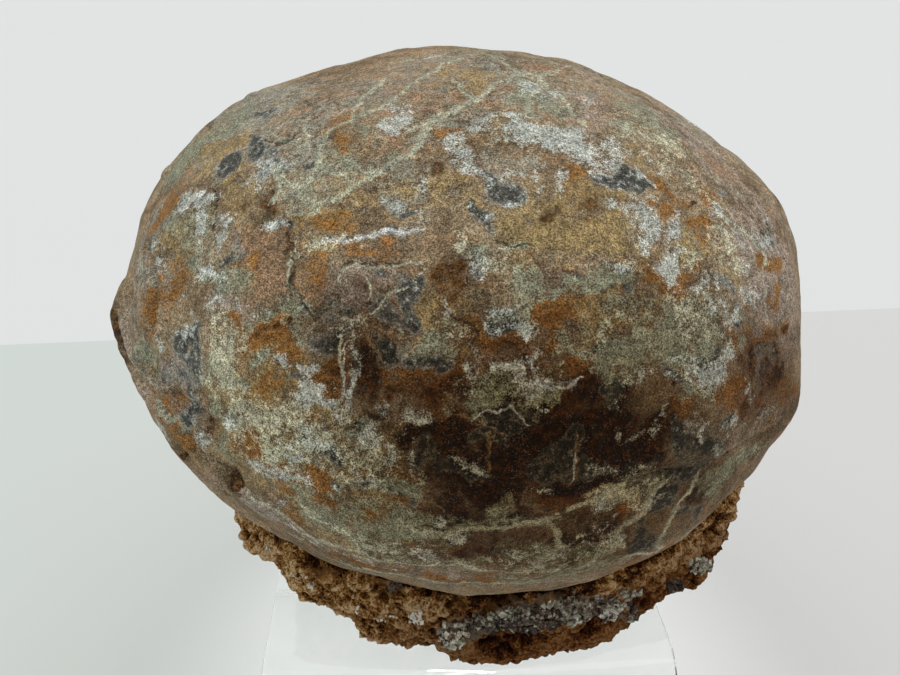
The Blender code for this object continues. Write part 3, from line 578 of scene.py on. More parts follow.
# Lines on the shell: (width, place, place, ...). These are pale veins of calcite between the
# pieces of shell.
VEINS = (
    (1.4, (382, 78), (372, 88), (362, 100), (355, 118)),
    (1.4, (455, 62), (438, 67), (425, 75), (410, 84), (395, 97), (378, 108), (355, 120), (330, 131),
     (322, 148), (317, 163), (299, 186)),
    (1.5, (570, 66), (545, 75), (517, 76), (507, 82), (491, 88), (478, 97), (465, 104), (448, 112),
     (434, 119), (424, 130), (420, 143), (411, 155), (395, 163), (376, 173), (355, 186),
     (340, 197), (313, 211)),
    (1.2, (500, 62), (509, 68), (517, 76)),
    (1.2, (539, 78), (533, 95), (528, 108), (520, 118)),
    (1.2, (545, 84), (557, 95), (570, 110), (583, 125)),
    (1.1, (452, 80), (462, 88), (470, 96)),
    (1.2, (408, 131), (424, 125), (440, 113)),
    (1.2, (320, 168), (335, 172), (355, 186)),
    (1.1, (330, 166), (308, 181), (300, 190)),
    (1.3, (275, 168), (281, 180), (295, 192), (315, 208)),
    (1.1, (281, 180), (273, 200)),
    (1.1, (262, 128), (280, 140), (300, 146), (322, 148)),
    (1.0, (300, 118), (306, 132), (318, 150)),
    (1.0, (348, 160), (362, 168), (372, 174)),
    (0.6, (340, 283), (345, 268), (365, 266), (395, 267), (419, 263)),
    (0.4, (366, 275), (370, 288), (371, 298)),
    (0.6, (406, 288), (384, 302), (376, 313), (362, 321), (345, 318)),
    (0.7, (294, 254), (292, 290), (312, 314), (335, 300)),
    (0.7, (341, 341), (342, 369), (345, 395), (337, 408)),
    (1.8, (420, 534), (450, 532), (480, 530), (511, 527), (545, 522), (562, 511), (580, 502),
     (600, 497)),
    (1.5, (545, 522), (557, 534), (559, 545), (547, 553), (534, 568)),
    (1.7, (667, 484), (652, 498), (646, 511), (625, 526), (612, 543), (597, 557), (576, 568)),
    (1.5, (700, 478), (686, 498), (673, 519), (663, 538), (658, 549), (639, 555), (623, 559)),
    (1.6, (234, 490), (263, 502), (286, 519), (307, 533), (334, 544), (363, 553), (391, 560),
     (430, 565), (480, 569), (527, 571)),
    (1.2, (150, 385), (155, 402), (168, 418), (190, 432), (202, 448), (228, 474)),
    (1.2, (176, 386), (188, 396), (198, 408)),
    (1.2, (200, 440), (212, 452), (222, 464)),
    (1.2, (742, 229), (752, 240), (766, 258), (764, 285), (769, 320)),
    (0.8, (330, 556), (370, 568), (420, 578), (470, 582), (530, 581), (590, 570)),
    (0.7, (260, 516), (300, 541), (350, 563), (400, 574)),
)

# Orange-pale hairlines.
HAIRLINES = (
    (1.0, (362, 322), (368, 335), (375, 348), (381, 358)),
    (1.0, (362, 322), (385, 330), (402, 338)),
    (1.0, (462, 414), (480, 424), (500, 432)),
    (1.0, (488, 438), (488, 455), (487, 470)),
    (1.0, (577, 433), (576, 455), (574, 475)),
    (1.0, (772, 262), (776, 283), (774, 310)),
    (1.0, (420, 500), (435, 506), (445, 514)),
)

# White crusted lines.
CRUST_LINES = (
    (1.2, (317, 243), (332, 241), (350, 243), (362, 238), (381, 232), (400, 233), (416, 228)),
    (1.6, (529, 384), (548, 383), (562, 386), (573, 383)),
    (0.5, (474, 418), (484, 409), (496, 414), (511, 405)),
    (0.5, (511, 405), (520, 414), (527, 424)),
    (0.4, (345, 396), (344, 380), (343, 362), (345, 345)),
    (0.6, (305, 398), (318, 404), (330, 402)),
    (0.4, (575, 452), (573, 465), (572, 480)),
    (1.5, (200, 196), (190, 205), (180, 212)),
)

# Dark open cracks.
CRACKS = (
    (1.0, (289, 224), (294, 254), (290, 288), (312, 316), (335, 300)),
    (1.2, (270, 141), (279, 145), (291, 139)),
    (0.8, (350, 263), (366, 263), (388, 264)),
    (1.4, (593, 497), (616, 484), (644, 474), (667, 469), (685, 469), (718, 459), (743, 443)),
    (1.6, (226, 464), (234, 474), (243, 484)),
    (0.8, (213, 190), (216, 198)),
    (0.9, (213, 205), (212, 216), (210, 228)),
    (0.9, (366, 484), (382, 490), (400, 497)),
    (1.5, (118, 306), (121, 330), (127, 352), (137, 372)),
    (0.8, (424, 528), (440, 533), (462, 532), (482, 528)),
    (0.8, (455, 318), (470, 324), (478, 333)),
    (0.8, (498, 240), (512, 246), (530, 244)),
)

# The edge of the shell that laps over its lower part.
LIP = (1.0, (560, 512), (593, 497), (616, 484), (644, 474), (667, 469), (685, 469), (718, 459),
       (743, 443), (772, 424))

# Deep folds, where the shell was crushed.
FOLDS = (
    (1.0, (118, 300), (122, 330), (132, 362), (150, 395)),
    (0.8, (152, 250), (158, 275), (160, 300), (156, 325)),
    (1.0, (146, 369), (151, 395), (184, 425), (202, 448), (228, 474)),
    (1.0, (176, 390), (197, 408), (222, 433)),
)

# Open pits, and bumps with a half width below zero: (x, y, half width in mm, depth in mm).
PITS = (
    (614, 321, 0.9, 0.7), (666, 476, 1.4, 1.6), (183, 452, 1.6, 2.2), (236, 474, 1.6, 1.8),
    (773, 233, 0.8, 0.5), (784, 330, 0.7, 0.4), (232, 487, 1.2, 1.2), (790, 262, 0.8, 0.6),
    (775, 352, 0.9, 0.6), (786, 300, 0.8, 0.6), (253, 96, -2.4, 0.9), (166, 172, -2.4, 0.9),
    (146, 215, -3.0, 0.7), (120, 318, -3.5, 0.7),
)

# The lines that the shell's finish colours, and how many hidden ones join each kind.
LINES = {"vein": (VEINS, 20), "hairline": (HAIRLINES, 6), "crust": (CRUST_LINES, 2),
         "crack": (CRACKS, 6)}


def seen_lines(surface, lines, rng):
    """(points, width) of pixel lines carried onto the shell and given a natural wander."""
    made = []
    for width, *pixels in lines:
        points = [place_on(surface, pixel)[0] for pixel in pixels]
        made.append((wandering(points, LINE_SPLITS, LINE_SWAY, rng), width))
    return made


# Marks on the sides that the camera doesn't see keep off the shell's underside and away from
# where the shell turns into view. Each pair is the least and the most.
LOWEST_HEADING = -0.75
HIDDEN_FROM = 0.05
HIDDEN_STAINS = 150
HIDDEN_STAIN_MM = (3, 12)
HIDDEN_STAIN_ASPECT = (0.4, 0.9)
HIDDEN_STAIN_STRENGTH = (0.5, 1.0)
HIDDEN_LINE_STEPS = (3, 7)
HIDDEN_STEP_MM = (5, 9)
HIDDEN_LINE_TURN = 0.6
HIDDEN_LINE_SPLITS = 2
HIDDEN_LINE_SWAY = 0.10
HIDDEN_LINE_WIDTH = (0.7, 1.5)


def hidden_spot(surface, rng):
    """A random place on the shell that the camera doesn't see, with its normal."""
    while True:
        direction = Vector([rng.gauss(0, 1) for _ in range(3)]).normalized()
        if direction.z < LOWEST_HEADING:
            continue
        point, normal, _, _ = surface.ray_cast(MIDDLE, direction)
        if (point - EYE).normalized().dot(normal) > HIDDEN_FROM:
            return point, normal


def hidden_stains(surface, rng):
    """(kind, oval, strength) of stains, in every kind by turns, painted shade among them, where the
    camera doesn't see.
    """
    kinds = list(STAINS)
    made = []
    for index in range(HIDDEN_STAINS):
        point, normal = hidden_spot(surface, rng)
        first = normal.orthogonal().normalized()
        second = normal.cross(first)
        turn = rng.uniform(0, math.pi)
        long_axis = first * math.cos(turn) + second * math.sin(turn)
        short_axis = normal.cross(long_axis)
        length = rng.uniform(*HIDDEN_STAIN_MM) * MM
        width = length * rng.uniform(*HIDDEN_STAIN_ASPECT)
        oval = (point, long_axis * length, short_axis * width, normal)
        made.append((kinds[index % len(kinds)], oval, rng.uniform(*HIDDEN_STAIN_STRENGTH)))
    return made


def hidden_lines(surface, count, rng):
    """(points, width) of lines that run over the sides that the camera doesn't see."""
    made = []
    for _ in range(count):
        point, normal = hidden_spot(surface, rng)
        heading = normal.orthogonal().normalized()
        heading.rotate(Matrix.Rotation(rng.uniform(0, 2 * math.pi), 3, normal))
        line = [point]
        for _ in range(rng.randint(*HIDDEN_LINE_STEPS)):
            ahead = line[-1] + heading * rng.uniform(*HIDDEN_STEP_MM) * MM
            outward = (ahead - MIDDLE).normalized()
            point, normal, _, _ = surface.ray_cast(MIDDLE, outward)
            if point is None or (point - EYE).normalized().dot(normal) < -HIDDEN_FROM:
                break
            line.append(point)
            turn = rng.uniform(-HIDDEN_LINE_TURN, HIDDEN_LINE_TURN)
            heading.rotate(Matrix.Rotation(turn, 3, normal))
            heading = (heading - normal * heading.dot(normal)).normalized()
        if len(line) > 1:
            swaying = wandering(line, HIDDEN_LINE_SPLITS, HIDDEN_LINE_SWAY, rng)
            made.append((swaying, rng.uniform(*HIDDEN_LINE_WIDTH)))
    return made


# ---------------------------------------------------------------- materials


# How far a shift moves a finish's noise along each axis.
FINISH_SHIFTS = (1.0, 0.7, -1.3)


class Finish:
    """A procedural material, put together node by node on Object coordinates."""

    def __init__(self, name):
        self.material = bpy.data.materials.new(name)
        self.material.use_nodes = True
        self.tree = self.material.node_tree
        self.shader = self.tree.nodes["Principled BSDF"]
        self.coordinates = self.tree.nodes.new("ShaderNodeTexCoord").outputs["Object"]

    def put(self, socket, value):
        if isinstance(value, bpy.types.NodeSocket):
            self.tree.links.new(value, socket)
        else:
            socket.default_value = value

    def node(self, kind, output, settings=(), **inputs):
        made = self.tree.nodes.new(kind)
        for key, value in dict(settings).items():
            setattr(made, key, value)
        for key, value in inputs.items():
            self.put(made.inputs[key.replace("_", " ")], value)
        return made.outputs[output]

    def wear(self, **inputs):
        """Sets the shader's own inputs, and gives the material back."""
        for key, value in inputs.items():
            self.put(self.shader.inputs[key.replace("_", " ")], value)
        return self.material

    def along(self, axis):
        """The coordinate along "X", "Y" or "Z", in metres."""
        return self.node("ShaderNodeSeparateXYZ", axis, Vector=self.coordinates)

    def moved(self, shift, stretch=(1, 1, 1)):
        return self.node("ShaderNodeMapping", "Vector", Vector=self.coordinates, Location=shift,
                         Scale=stretch)

    def noise(self, size, detail, rough, shift=0.0, stretch=(1, 1, 1)):
        """Noise, mostly from 0.3 to 0.7, whose largest lumps are about this size, in mm."""
        vector = self.moved([shift * share for share in FINISH_SHIFTS], stretch)
        return self.node("ShaderNodeTexNoise", "Fac", Vector=vector, Scale=1 / (size * MM),
                         Detail=detail, Roughness=rough)

    def noises(self, table):
        return {name: self.noise(*values) for name, values in table.items()}

    def field(self, name):
        return self.node("ShaderNodeAttribute", "Fac", {"attribute_name": name})

    def maths(self, operation, first, second=0.0):
        made = self.tree.nodes.new("ShaderNodeMath")
        made.operation = operation
        self.put(made.inputs[0], first)
        self.put(made.inputs[1], second)
        return made.outputs[0]

    def plus(self, first, *others):
        for other in others:
            first = self.maths("ADD", first, other)
        return first

    def times(self, first, *others):
        for other in others:
            first = self.maths("MULTIPLY", first, other)
        return first

    def sway(self, noise_value, reach):
        """A noise drawn out to run from -reach to reach."""
        return self.plus(self.times(noise_value, 2 * reach), -reach)

    def step(self, value, low, high, start=0.0, end=1.0):
        """start before low and end past high, with a smooth run between."""
        made = self.tree.nodes.new("ShaderNodeMapRange")
        made.interpolation_type = "SMOOTHSTEP"
        for name, number in (("Value", value), ("From Min", low), ("From Max", high),
                             ("To Min", start), ("To Max", end)):
            self.put(made.inputs[name], number)
        return made.outputs["Result"]

    def mix(self, share, first, second, blend="MIX"):
        made = self.tree.nodes.new("ShaderNodeMix")
        made.data_type = "RGBA"
        made.blend_type = blend
        self.put(made.inputs["Factor"], share)
        for name, colour in (("A", first), ("B", second)):
            self.put(made.inputs[name], (*colour, 1.0) if isinstance(colour, tuple) else colour)
        return made.outputs["Result"]

    def shaded(self, colour, shade, share):
        """The colour multiplied by a shade, as far as the share says."""
        return self.mix(share, colour, self.mix(1.0, colour, shade, "MULTIPLY"))

    def grey(self, value):
        made = self.tree.nodes.new("ShaderNodeCombineColor")
        for name in ("Red", "Green", "Blue"):
            self.put(made.inputs[name], value)
        return made.outputs["Color"]

    def bump(self, height, depth, strength, under=None):
        made = self.tree.nodes.new("ShaderNodeBump")
        made.inputs["Strength"].default_value = strength
        made.inputs["Distance"].default_value = depth
        self.put(made.inputs["Height"], height)
        if under is not None:
            self.put(made.inputs["Normal"], under)
        return made.outputs["Normal"]


# The shell's noises, from its specks to its clouds: (size in mm, detail, roughness, shift).
SHELL_NOISES = {
    "speck": (0.26, 2, 0.6, 23),
    "grain": (0.55, 4, 0.7, 0),
    "fine": (1.2, 5, 0.66, 3),
    "weather": (3.6, 8, 0.68, 7),
    "deposit": (4.4, 8, 0.70, 17),
    "broad": (14, 5, 0.6, 11),
}
# Shell colours, as linear red, green and blue.
BROWN_DARK = (0.222, 0.154, 0.090)
BROWN_LIGHT = (0.380, 0.288, 0.182)
BROWN_RED = (0.320, 0.188, 0.098)
UMBER_RED = (0.120, 0.050, 0.015)
SHELL_COLOURS = {
    "ash": (0.345, 0.325, 0.260),
    "mauve": (0.375, 0.298, 0.240),
    "clay": (0.325, 0.205, 0.122),
    "ochre": (0.350, 0.250, 0.112),
    "rust": (0.285, 0.132, 0.034),
    "umber": (0.032, 0.013, 0.003),
    "slate": (0.042, 0.044, 0.040),
    "sage": (0.285, 0.295, 0.205),
    "cream": (0.560, 0.540, 0.390),
    "frost": (0.530, 0.555, 0.510),
}
PALE_KINDS = ("ash", "sage", "cream", "frost")
# What the front's painted shade, laid over the shell's own darker colour there, multiplies: first
# the stains up to this last kind, then everything.
PAINTED_SHADE_UNDER = (0.470, 0.400, 0.330)
PAINTED_SHADE_OVER = (0.500, 0.395, 0.270)
LAST_SHADED_KIND = "slate"
# How far the noises fray a stain's edge, and then where each kind's edge begins and ends and how
# much the stain covers.
FLAKING = {"fine": 0.75, "speck": 0.55}
WEATHERING = 1.25
WEATHERED_FLAKING = 0.4
DEPOSITING = 1.4
SOFT_EDGE = (0.16, 0.86, 0.88)
EDGES = {"frost": (0.28, 0.94, 0.85), "cream": (0.24, 0.95, 0.85), "slate": (0.28, 0.66, 0.88),
         "umber": (0.24, 0.74, 0.92), "rust": (0.10, 0.66, 0.92)}
SLATE_RIM = 0.45
SLATE_FROST = 0.55
# Lines: their field, the distances in mm where they begin and stop fading, cover and colour.
LINE_FINISHES = (
    ("hairline", 0.04, 0.40, 0.50, (0.360, 0.235, 0.130)),
    ("vein", 0.12, 0.60, 0.95, (0.455, 0.450, 0.335)),
    ("crust", 0.04, 0.60, 0.75, (0.720, 0.740, 0.720)),
    ("crack", 0.02, 0.42, 0.75, (0.040, 0.028, 0.018)),
)
LINE_BREAKING = {"grain": 0.7, "deposit": 1.1}
LINE_THICKNESS = 0.92
# How far each noise darkens and lightens the shell: (noise, least, most).
SHELL_GRAIN = (("speck", 0.42, 1.58), ("grain", 0.70, 1.30), ("fine", 0.74, 1.26),
               ("weather", 0.78, 1.22))
PORE_COLOUR = (0.060, 0.042, 0.026)
PORE_COVER = 0.6
FLECK_COLOUR = (0.420, 0.370, 0.290)
FLECK_COVER = 0.55
STONE_SHINE = 0.05


def shell_ground(finish, noises):
    """The bare shell: two browns in broad clouds, with redder patches."""
    colour = finish.mix(finish.step(noises["broad"], 0.38, 0.62), BROWN_DARK, BROWN_LIGHT)
    return finish.mix(finish.step(noises["weather"], 0.48, 0.64, 0.0, 0.6), colour, BROWN_RED)


def shell_stains(finish, noises, colour):
    """The stains, kind by kind, each over those before it, with the front's painted shade laid over
    the darker kinds.
    """
    fine = noises["fine"]
    flaky = finish.plus(*(finish.sway(noises[name], reach) for name, reach in FLAKING.items()))
    ragged = finish.plus(finish.sway(noises["weather"], WEATHERING),
                         finish.times(flaky, WEATHERED_FLAKING))
    ragged_pale = finish.plus(finish.sway(noises["deposit"], DEPOSITING), flaky)
    for kind, paint in SHELL_COLOURS.items():
        field = finish.field(kind)
        share = finish.plus(field, ragged_pale if kind in PALE_KINDS else ragged)
        if kind == "slate":
            rim = finish.times(finish.step(share, 0.02, 0.40), finish.step(field, 0.2, 0.5))
            colour = finish.mix(finish.times(rim, SLATE_RIM), colour, SHELL_COLOURS["frost"])
            frosted = finish.step(fine, 0.50, 0.66, 0.0, SLATE_FROST)
            paint = finish.mix(frosted, paint, SHELL_COLOURS["frost"])
        if kind == "umber":
            paint = finish.mix(finish.step(fine, 0.46, 0.62), paint, UMBER_RED)
        low, high, most = EDGES.get(kind, SOFT_EDGE)
        cover = finish.times(finish.step(share, low, high, 0.0, most), finish.step(field, 0.0, 0.2))
        colour = finish.mix(cover, colour, paint)
        # The front's painted shade, over the stains so far.
        if kind == LAST_SHADED_KIND:
            colour = finish.shaded(colour, PAINTED_SHADE_UNDER, finish.field("painted_shade_and_tone"))
    return colour


def shell_lines(finish, noises, colour):
    """Hairlines, veins, crusts and cracks, swayed and broken by the noises."""
    wobble = finish.plus(finish.sway(noises["fine"], 1.0), finish.sway(noises["weather"], 1.0))
    breaks = finish.plus(*(finish.times(noises[name], reach)
                           for name, reach in LINE_BREAKING.items()), -LINE_THICKNESS)
    for name, inner, outer, most, paint in LINE_FINISHES:
        apart = finish.maths("ABSOLUTE", finish.plus(finish.field(name + "_mm"), wobble))
        line = finish.step(finish.plus(apart, breaks), inner, outer, 1.0, 0.0)
        close = finish.step(finish.field(name + "_near"), 1.0, 1.4, most, 0.0)
        colour = finish.mix(finish.times(line, close), colour, paint)
    return colour


def shell_grain(finish, noises, colour):
    """The light and dark of the grain, with its pores and pale flecks."""
    for name, least, most in SHELL_GRAIN:
        spread = finish.grey(finish.step(noises[name], 0.34, 0.66, least, most))
        colour = finish.mix(1.0, colour, spread, "MULTIPLY")
    pores = finish.step(noises["grain"], 0.36, 0.28, 0.0, PORE_COVER)
    colour = finish.mix(pores, colour, PORE_COLOUR)
    # Fewer pale flecks under the front's painted shade.
    flecks = finish.times(finish.step(noises["speck"], 0.58, 0.70),
                          finish.step(noises["deposit"], 0.40, 0.58),
                          finish.step(finish.field("painted_shade_and_tone"), 0.2, 1.0, 1.0, 0.35))
    return finish.mix(finish.times(flecks, FLECK_COVER), colour, FLECK_COLOUR)


def shell_finish():
    finish = Finish("fossil shell")
    noises = finish.noises(SHELL_NOISES)
    colour = shell_ground(finish, noises)
    colour = shell_stains(finish, noises, colour)
    colour = shell_lines(finish, noises, colour)
    # The front's painted shade, over everything so far.
    colour = finish.shaded(colour, PAINTED_SHADE_OVER, finish.field("painted_shade_and_tone"))
    colour = shell_grain(finish, noises, colour)
    under = finish.bump(noises["fine"], 0.5 * MM, 0.9)
    return finish.wear(
        Base_Color=colour,
        Roughness=finish.step(noises["fine"], 0.3, 0.7, 0.55, 0.8),
        Specular_IOR_Level=STONE_SHINE,
        Normal=finish.bump(noises["grain"], 0.2 * MM, 0.8, under),
    )


ROCK_NOISES = {"grain": (0.5, 3, 0.65, 0), "fine": (1.3, 4, 0.65, 5), "broad": (8, 4, 0.6, 9)}
# Rock colours, from the deepest crevices to the tips of the crumbs, and where each paler one starts
# to show. Painted shade in the rock's hollows and near the shell pulls it towards the darker ones.
ROCK_COLOURS = ((0.016, 0.004, 0.0005), (0.100, 0.036, 0.006), (0.255, 0.118, 0.032),
                (0.410, 0.235, 0.090), (0.650, 0.475, 0.280))
ROCK_STARTS = (0.18, 0.38, 0.56, 0.74)
ROCK_FADE = 0.18
HOLLOW_SHADE_WEIGHT = -0.64
FINE_WEIGHT = 1.9
GRAIN_WEIGHT = 1.5
CRUMB_LEVEL = -0.88
ROCK_CLOUDS = (0.34, 0.165, 0.055)
SEAM_COLOUR = (0.120, 0.105, 0.080)
# Painted shade on the rock's lower right side, away from the light: what it multiplies, where it
# begins and ends from left to right, and from where to where it wanes with the height.
ROCK_PAINTED_SHADE = (0.36, 0.24, 0.15)
PAINTED_SHADE_ACROSS = (-32 * MM, 10 * MM)
PAINTED_SHADE_BELOW = (100 * MM, 116 * MM)


def rock_finish():
    finish = Finish("rough matrix rock")
    grain, fine, broad = finish.noises(ROCK_NOISES).values()
    # Painted shade in the rock's hollows and near the shell darkens the crumb.
    crumb = finish.plus(finish.times(finish.field("painted_hollow_shade"), HOLLOW_SHADE_WEIGHT),
                        finish.times(fine, FINE_WEIGHT), finish.times(grain, GRAIN_WEIGHT),
                        CRUMB_LEVEL)
    colour = ROCK_COLOURS[0]
    for start, paint in zip(ROCK_STARTS, ROCK_COLOURS[1:]):
        colour = finish.mix(finish.step(crumb, start, start + ROCK_FADE), colour, paint)
    colour = finish.mix(finish.step(broad, 0.54, 0.68, 0.0, 0.45), colour, ROCK_CLOUDS)
    # Painted shade, darker to the right and lower down.
    across = finish.plus(finish.along("X"), finish.times(broad, 20 * MM))
    above = finish.plus(finish.along("Z"), finish.times(broad, 10 * MM))
    lower_right_shade = finish.times(finish.step(across, *PAINTED_SHADE_ACROSS),
                        finish.step(above, *PAINTED_SHADE_BELOW, 1.0, 0.25))
    colour = finish.shaded(colour, ROCK_PAINTED_SHADE, lower_right_shade)
    seam = finish.plus(finish.field("seam"), finish.sway(fine, 0.8))
    colour = finish.mix(finish.step(seam, 0.4, 0.8, 0.0, 0.8), colour, SEAM_COLOUR)
    under = finish.bump(fine, 0.8 * MM, 1.0)
    return finish.wear(
        Base_Color=colour,
        Roughness=finish.step(fine, 0.3, 0.7, 0.8, 0.98),
        Specular_IOR_Level=STONE_SHINE,
        Normal=finish.bump(grain, 0.4 * MM, 1.0, under),
    )


CRYSTAL_NOISES = {"fine": (1.1, 4, 0.65, 5), "patchy": (5, 3, 0.6, 2)}
CRYSTAL_DARK = (0.024, 0.009, 0.002)
CRYSTAL_VIOLET = (0.165, 0.115, 0.084)
CRYSTAL_GREEN = (0.250, 0.240, 0.170)
CRYSTAL_PALE = (0.640, 0.610, 0.520)
CRYSTAL_SHINE = 0.25
PATCHY_WEIGHT = 1.2
PATCHY_LEVEL = -0.68


def crystal_finish():
    finish = Finish("calcite crystals")
    fine, patchy = finish.noises(CRYSTAL_NOISES).values()
    pale = finish.plus(finish.field("paleness"), finish.sway(fine, 1.1),
                       finish.times(patchy, PATCHY_WEIGHT), PATCHY_LEVEL)
    tinted = finish.mix(finish.step(patchy, 0.42, 0.58), CRYSTAL_VIOLET, CRYSTAL_GREEN)
    colour = finish.mix(finish.step(pale, 0.05, 0.40), CRYSTAL_DARK, tinted)
    colour = finish.mix(finish.step(pale, 0.40, 0.95), colour, CRYSTAL_PALE)
    return finish.wear(
        Base_Color=colour,
        Roughness=finish.step(fine, 0.3, 0.7, 0.25, 0.5),
        Specular_IOR_Level=CRYSTAL_SHINE,
        Normal=finish.bump(fine, 0.5 * MM, 0.9),
    )


ACRYLIC_TINTS = ((0.965, 0.985, 0.978), (0.985, 0.995, 0.992))
ACRYLIC_IOR = 1.49
RUBS_STRETCH = (1, 0.08, 1)
RUBS_ROUGHNESS = 0.05
SAWN_FOOT = (0.2 * MM, 0.8 * MM)
SAWN_ROUGHNESS = 0.6


def acrylic_finish():
    """Clear acrylic, rubbed here and there and matt where its feet are sawn."""
    finish = Finish("clear acrylic")
    haze = finish.noise(14, 3, 0.5, shift=2)
    rubs = finish.noise(1.2, 2, 0.5, stretch=RUBS_STRETCH)
    sawn = finish.step(finish.along("Z"), *SAWN_FOOT, SAWN_ROUGHNESS, 0.0)
    rubbed = finish.step(rubs, 0.45, 0.75, 0.0, RUBS_ROUGHNESS)
    return finish.wear(
        Base_Color=finish.mix(finish.step(haze, 0.35, 0.65), *ACRYLIC_TINTS),
        Roughness=finish.maths("MAXIMUM", sawn, rubbed),
        IOR=ACRYLIC_IOR,
        Transmission_Weight=1.0,
    )


# The sizes of the clouds in the table's and the backdrop's tints are in mm.
TABLE_TINTS = ((0.625, 0.685, 0.650), (0.685, 0.675, 0.675))
TABLE_CLOUD = 300
TABLE_ROUGHNESS = 0.6
# How brightly the table shines up through the riser, where little light reaches it, and how far
# from the glow's middle it begins and ends to fade.
UNDER_GLOW = 0.45
GLOW_SHIFT = (-6 * MM, 0, 0)
GLOW_FADE = (45 * MM, 130 * MM)


def table_finish():
    """A pale table, a little greener and darker towards the left, with a painted glow under the
    riser.
    """
    finish = Finish("pale table")
    cloud = finish.plus(finish.along("X"), finish.times(finish.noise(TABLE_CLOUD, 2, 0.5), 0.3))
    colour = finish.mix(finish.step(cloud, -0.25, 0.35), *TABLE_TINTS)
    reach = finish.node("ShaderNodeVectorMath", "Value", {"operation": "LENGTH"},
                        Vector=finish.moved(GLOW_SHIFT))
    return finish.wear(
        Base_Color=colour,
        Roughness=TABLE_ROUGHNESS,
        Emission_Color=colour,
        Emission_Strength=finish.step(reach, *GLOW_FADE, UNDER_GLOW, 0.0),
    )


PAPER_TINTS = ((0.745, 0.76, 0.76), (0.775, 0.775, 0.785))
PAPER_CLOUD = 600
PAPER_ROUGHNESS = 0.9


def backdrop_finish():
    finish = Finish("pale paper")
    cloud = finish.noise(PAPER_CLOUD, 2, 0.5, shift=4)
    return finish.wear(Base_Color=finish.mix(cloud, *PAPER_TINTS), Roughness=PAPER_ROUGHNESS)


# ---------------------------------------------------------------- the egg

# The shell's mesh: cuts across each face of a cube, and how far they crowd towards the front.
SHELL_CUTS = 127
SHELL_CROWDING = 0.33


def crowded_directions():
    """Unit directions of a cube sphere that crowds towards the front, and its mesh."""
    shape = bmesh.new()
    bmesh.ops.create_cube(shape, size=2)
    bmesh.ops.subdivide_edges(shape, edges=shape.edges, cuts=SHELL_CUTS, use_grid_fill=True)
    mesh = bpy.data.meshes.new("egg_shell")
    shape.to_mesh(mesh)
    shape.free()
    directions = unit(np.tan(vertex_vectors(mesh, "co") * math.pi / 4))
    facing = np.array((EYE - MIDDLE).normalized().to_track_quat("Z", "Y").to_matrix())
    directions = directions @ facing.T
    return unit(directions + SHELL_CROWDING * facing[:, 2]), mesh


# Where the shell is rough and pitted: (x, y, half width, half height, tilt, strength).
ROUGH_PLACES = (
    (778, 320, 26, 95, 0, 1.0), (190, 445, 26, 60, -45, 0.9), (130, 335, 16, 46, 0, 0.8),
    (222, 482, 14, 12, 0, 1.0), (170, 160, 14, 30, 45, 0.5), (395, 350, 50, 40, 0, 0.4),
    (520, 150, 70, 30, 15, 0.4), (300, 425, 60, 40, 0, 0.35), (540, 450, 100, 50, 0, 0.4),
)
LEAST_ROUGH = 0.25

# The shell's relief. In mm: waves as (wavelength, height, offset), grooves and ridges as (height,
# half width), and the lip's two sides as (height, distance in which it dies away).
BROAD_WAVES = ((16, 0.9, 6.0), (6, 0.4, 2.0))
SKIN_WAVES = ((2.6, 0.34, 5.0), (1.3, 0.22, 8.0))
PORE_SPACING = 4.0 * MM
PORE_OFFSET = 4.0
PORE_RIM = (0.22, 0.08)
PORE_DEPTH = 0.7 * MM
CRACK_GROOVE = (0.7, 0.55)
FOLD_GROOVE = (1.5, 1.3)
FOLD_RIDGE = (1.1, 1.6)
FOLD_RIDGE_APART = 3.0 * MM
LIP_RISE = (0.9, 3)
LIP_DROP = (0.8, 4)
LINE_REACH = 6 * MM
FOLD_REACH = 8 * MM
LIP_REACH = 12 * MM


def ridge(apart, height, half_width):
    """The rise of a smooth ridge, given in mm, at these distances from its line."""
    return height * MM * np.exp(-((apart / (half_width * MM)) ** 2))


def slope(apart, height, run):
    """The rise of an edge, given in mm, that dies away from its line."""
    return height * MM * np.exp(-apart / (run * MM))


def shell_relief(surface, places, outward, rng):
    """How far the fine forms raise the shell: folds, the lip, pits and its rough skin."""
    rough = np.maximum(LEAST_ROUGH, seen_cover(surface, places, ROUGH_PLACES))
    rise = layered_waves(places, BROAD_WAVES) + rough * layered_waves(places, SKIN_WAVES)
    pores = soft_step(*PORE_RIM, cell_distance(places, PORE_SPACING, PORE_OFFSET))
    rise -= rough * PORE_DEPTH * pores
    cracks = line_distance(places, outward, seen_lines(surface, CRACKS, rng), LINE_REACH)
    rise -= ridge(cracks, *CRACK_GROOVE)
    folds = np.abs(line_distance(places, outward, seen_lines(surface, FOLDS, rng), FOLD_REACH))
    rise += ridge(folds - FOLD_RIDGE_APART, *FOLD_RIDGE) - ridge(folds, *FOLD_GROOVE)
    lip_lines = seen_lines(surface, (LIP,), rng)
    lip = np.abs(line_distance(places, outward, lip_lines, LIP_REACH))
    edge = lip_lines[0][0]
    above = places[:, 2] > np.interp(places[:, 0], edge[:, 0], edge[:, 2])
    rise += np.where(above, slope(lip, *LIP_RISE), -slope(lip, *LIP_DROP))
    for x, y, half_width, depth in PITS:
        centre = np.array(place_on(surface, (x, y))[0])
        apart = np.linalg.norm(places - centre, axis=1) / (abs(half_width) * MM)
        rise -= math.copysign(depth, half_width) * MM * np.exp(-(apart**3))
    return rise


def stain_fields(surface, places, rng):
    """How strongly each kind of stain, and the front's painted shade, covers each place of the
    shell.
    """
    ragged = strayed(places)
    fields = {kind: seen_cover(surface, ragged, ovals) for kind, ovals in STAINS.items()}
    for kind, oval, strength in hidden_stains(surface, rng):
        fields[kind] = np.maximum(fields[kind], oval_cover(ragged, oval, strength))
    return fields


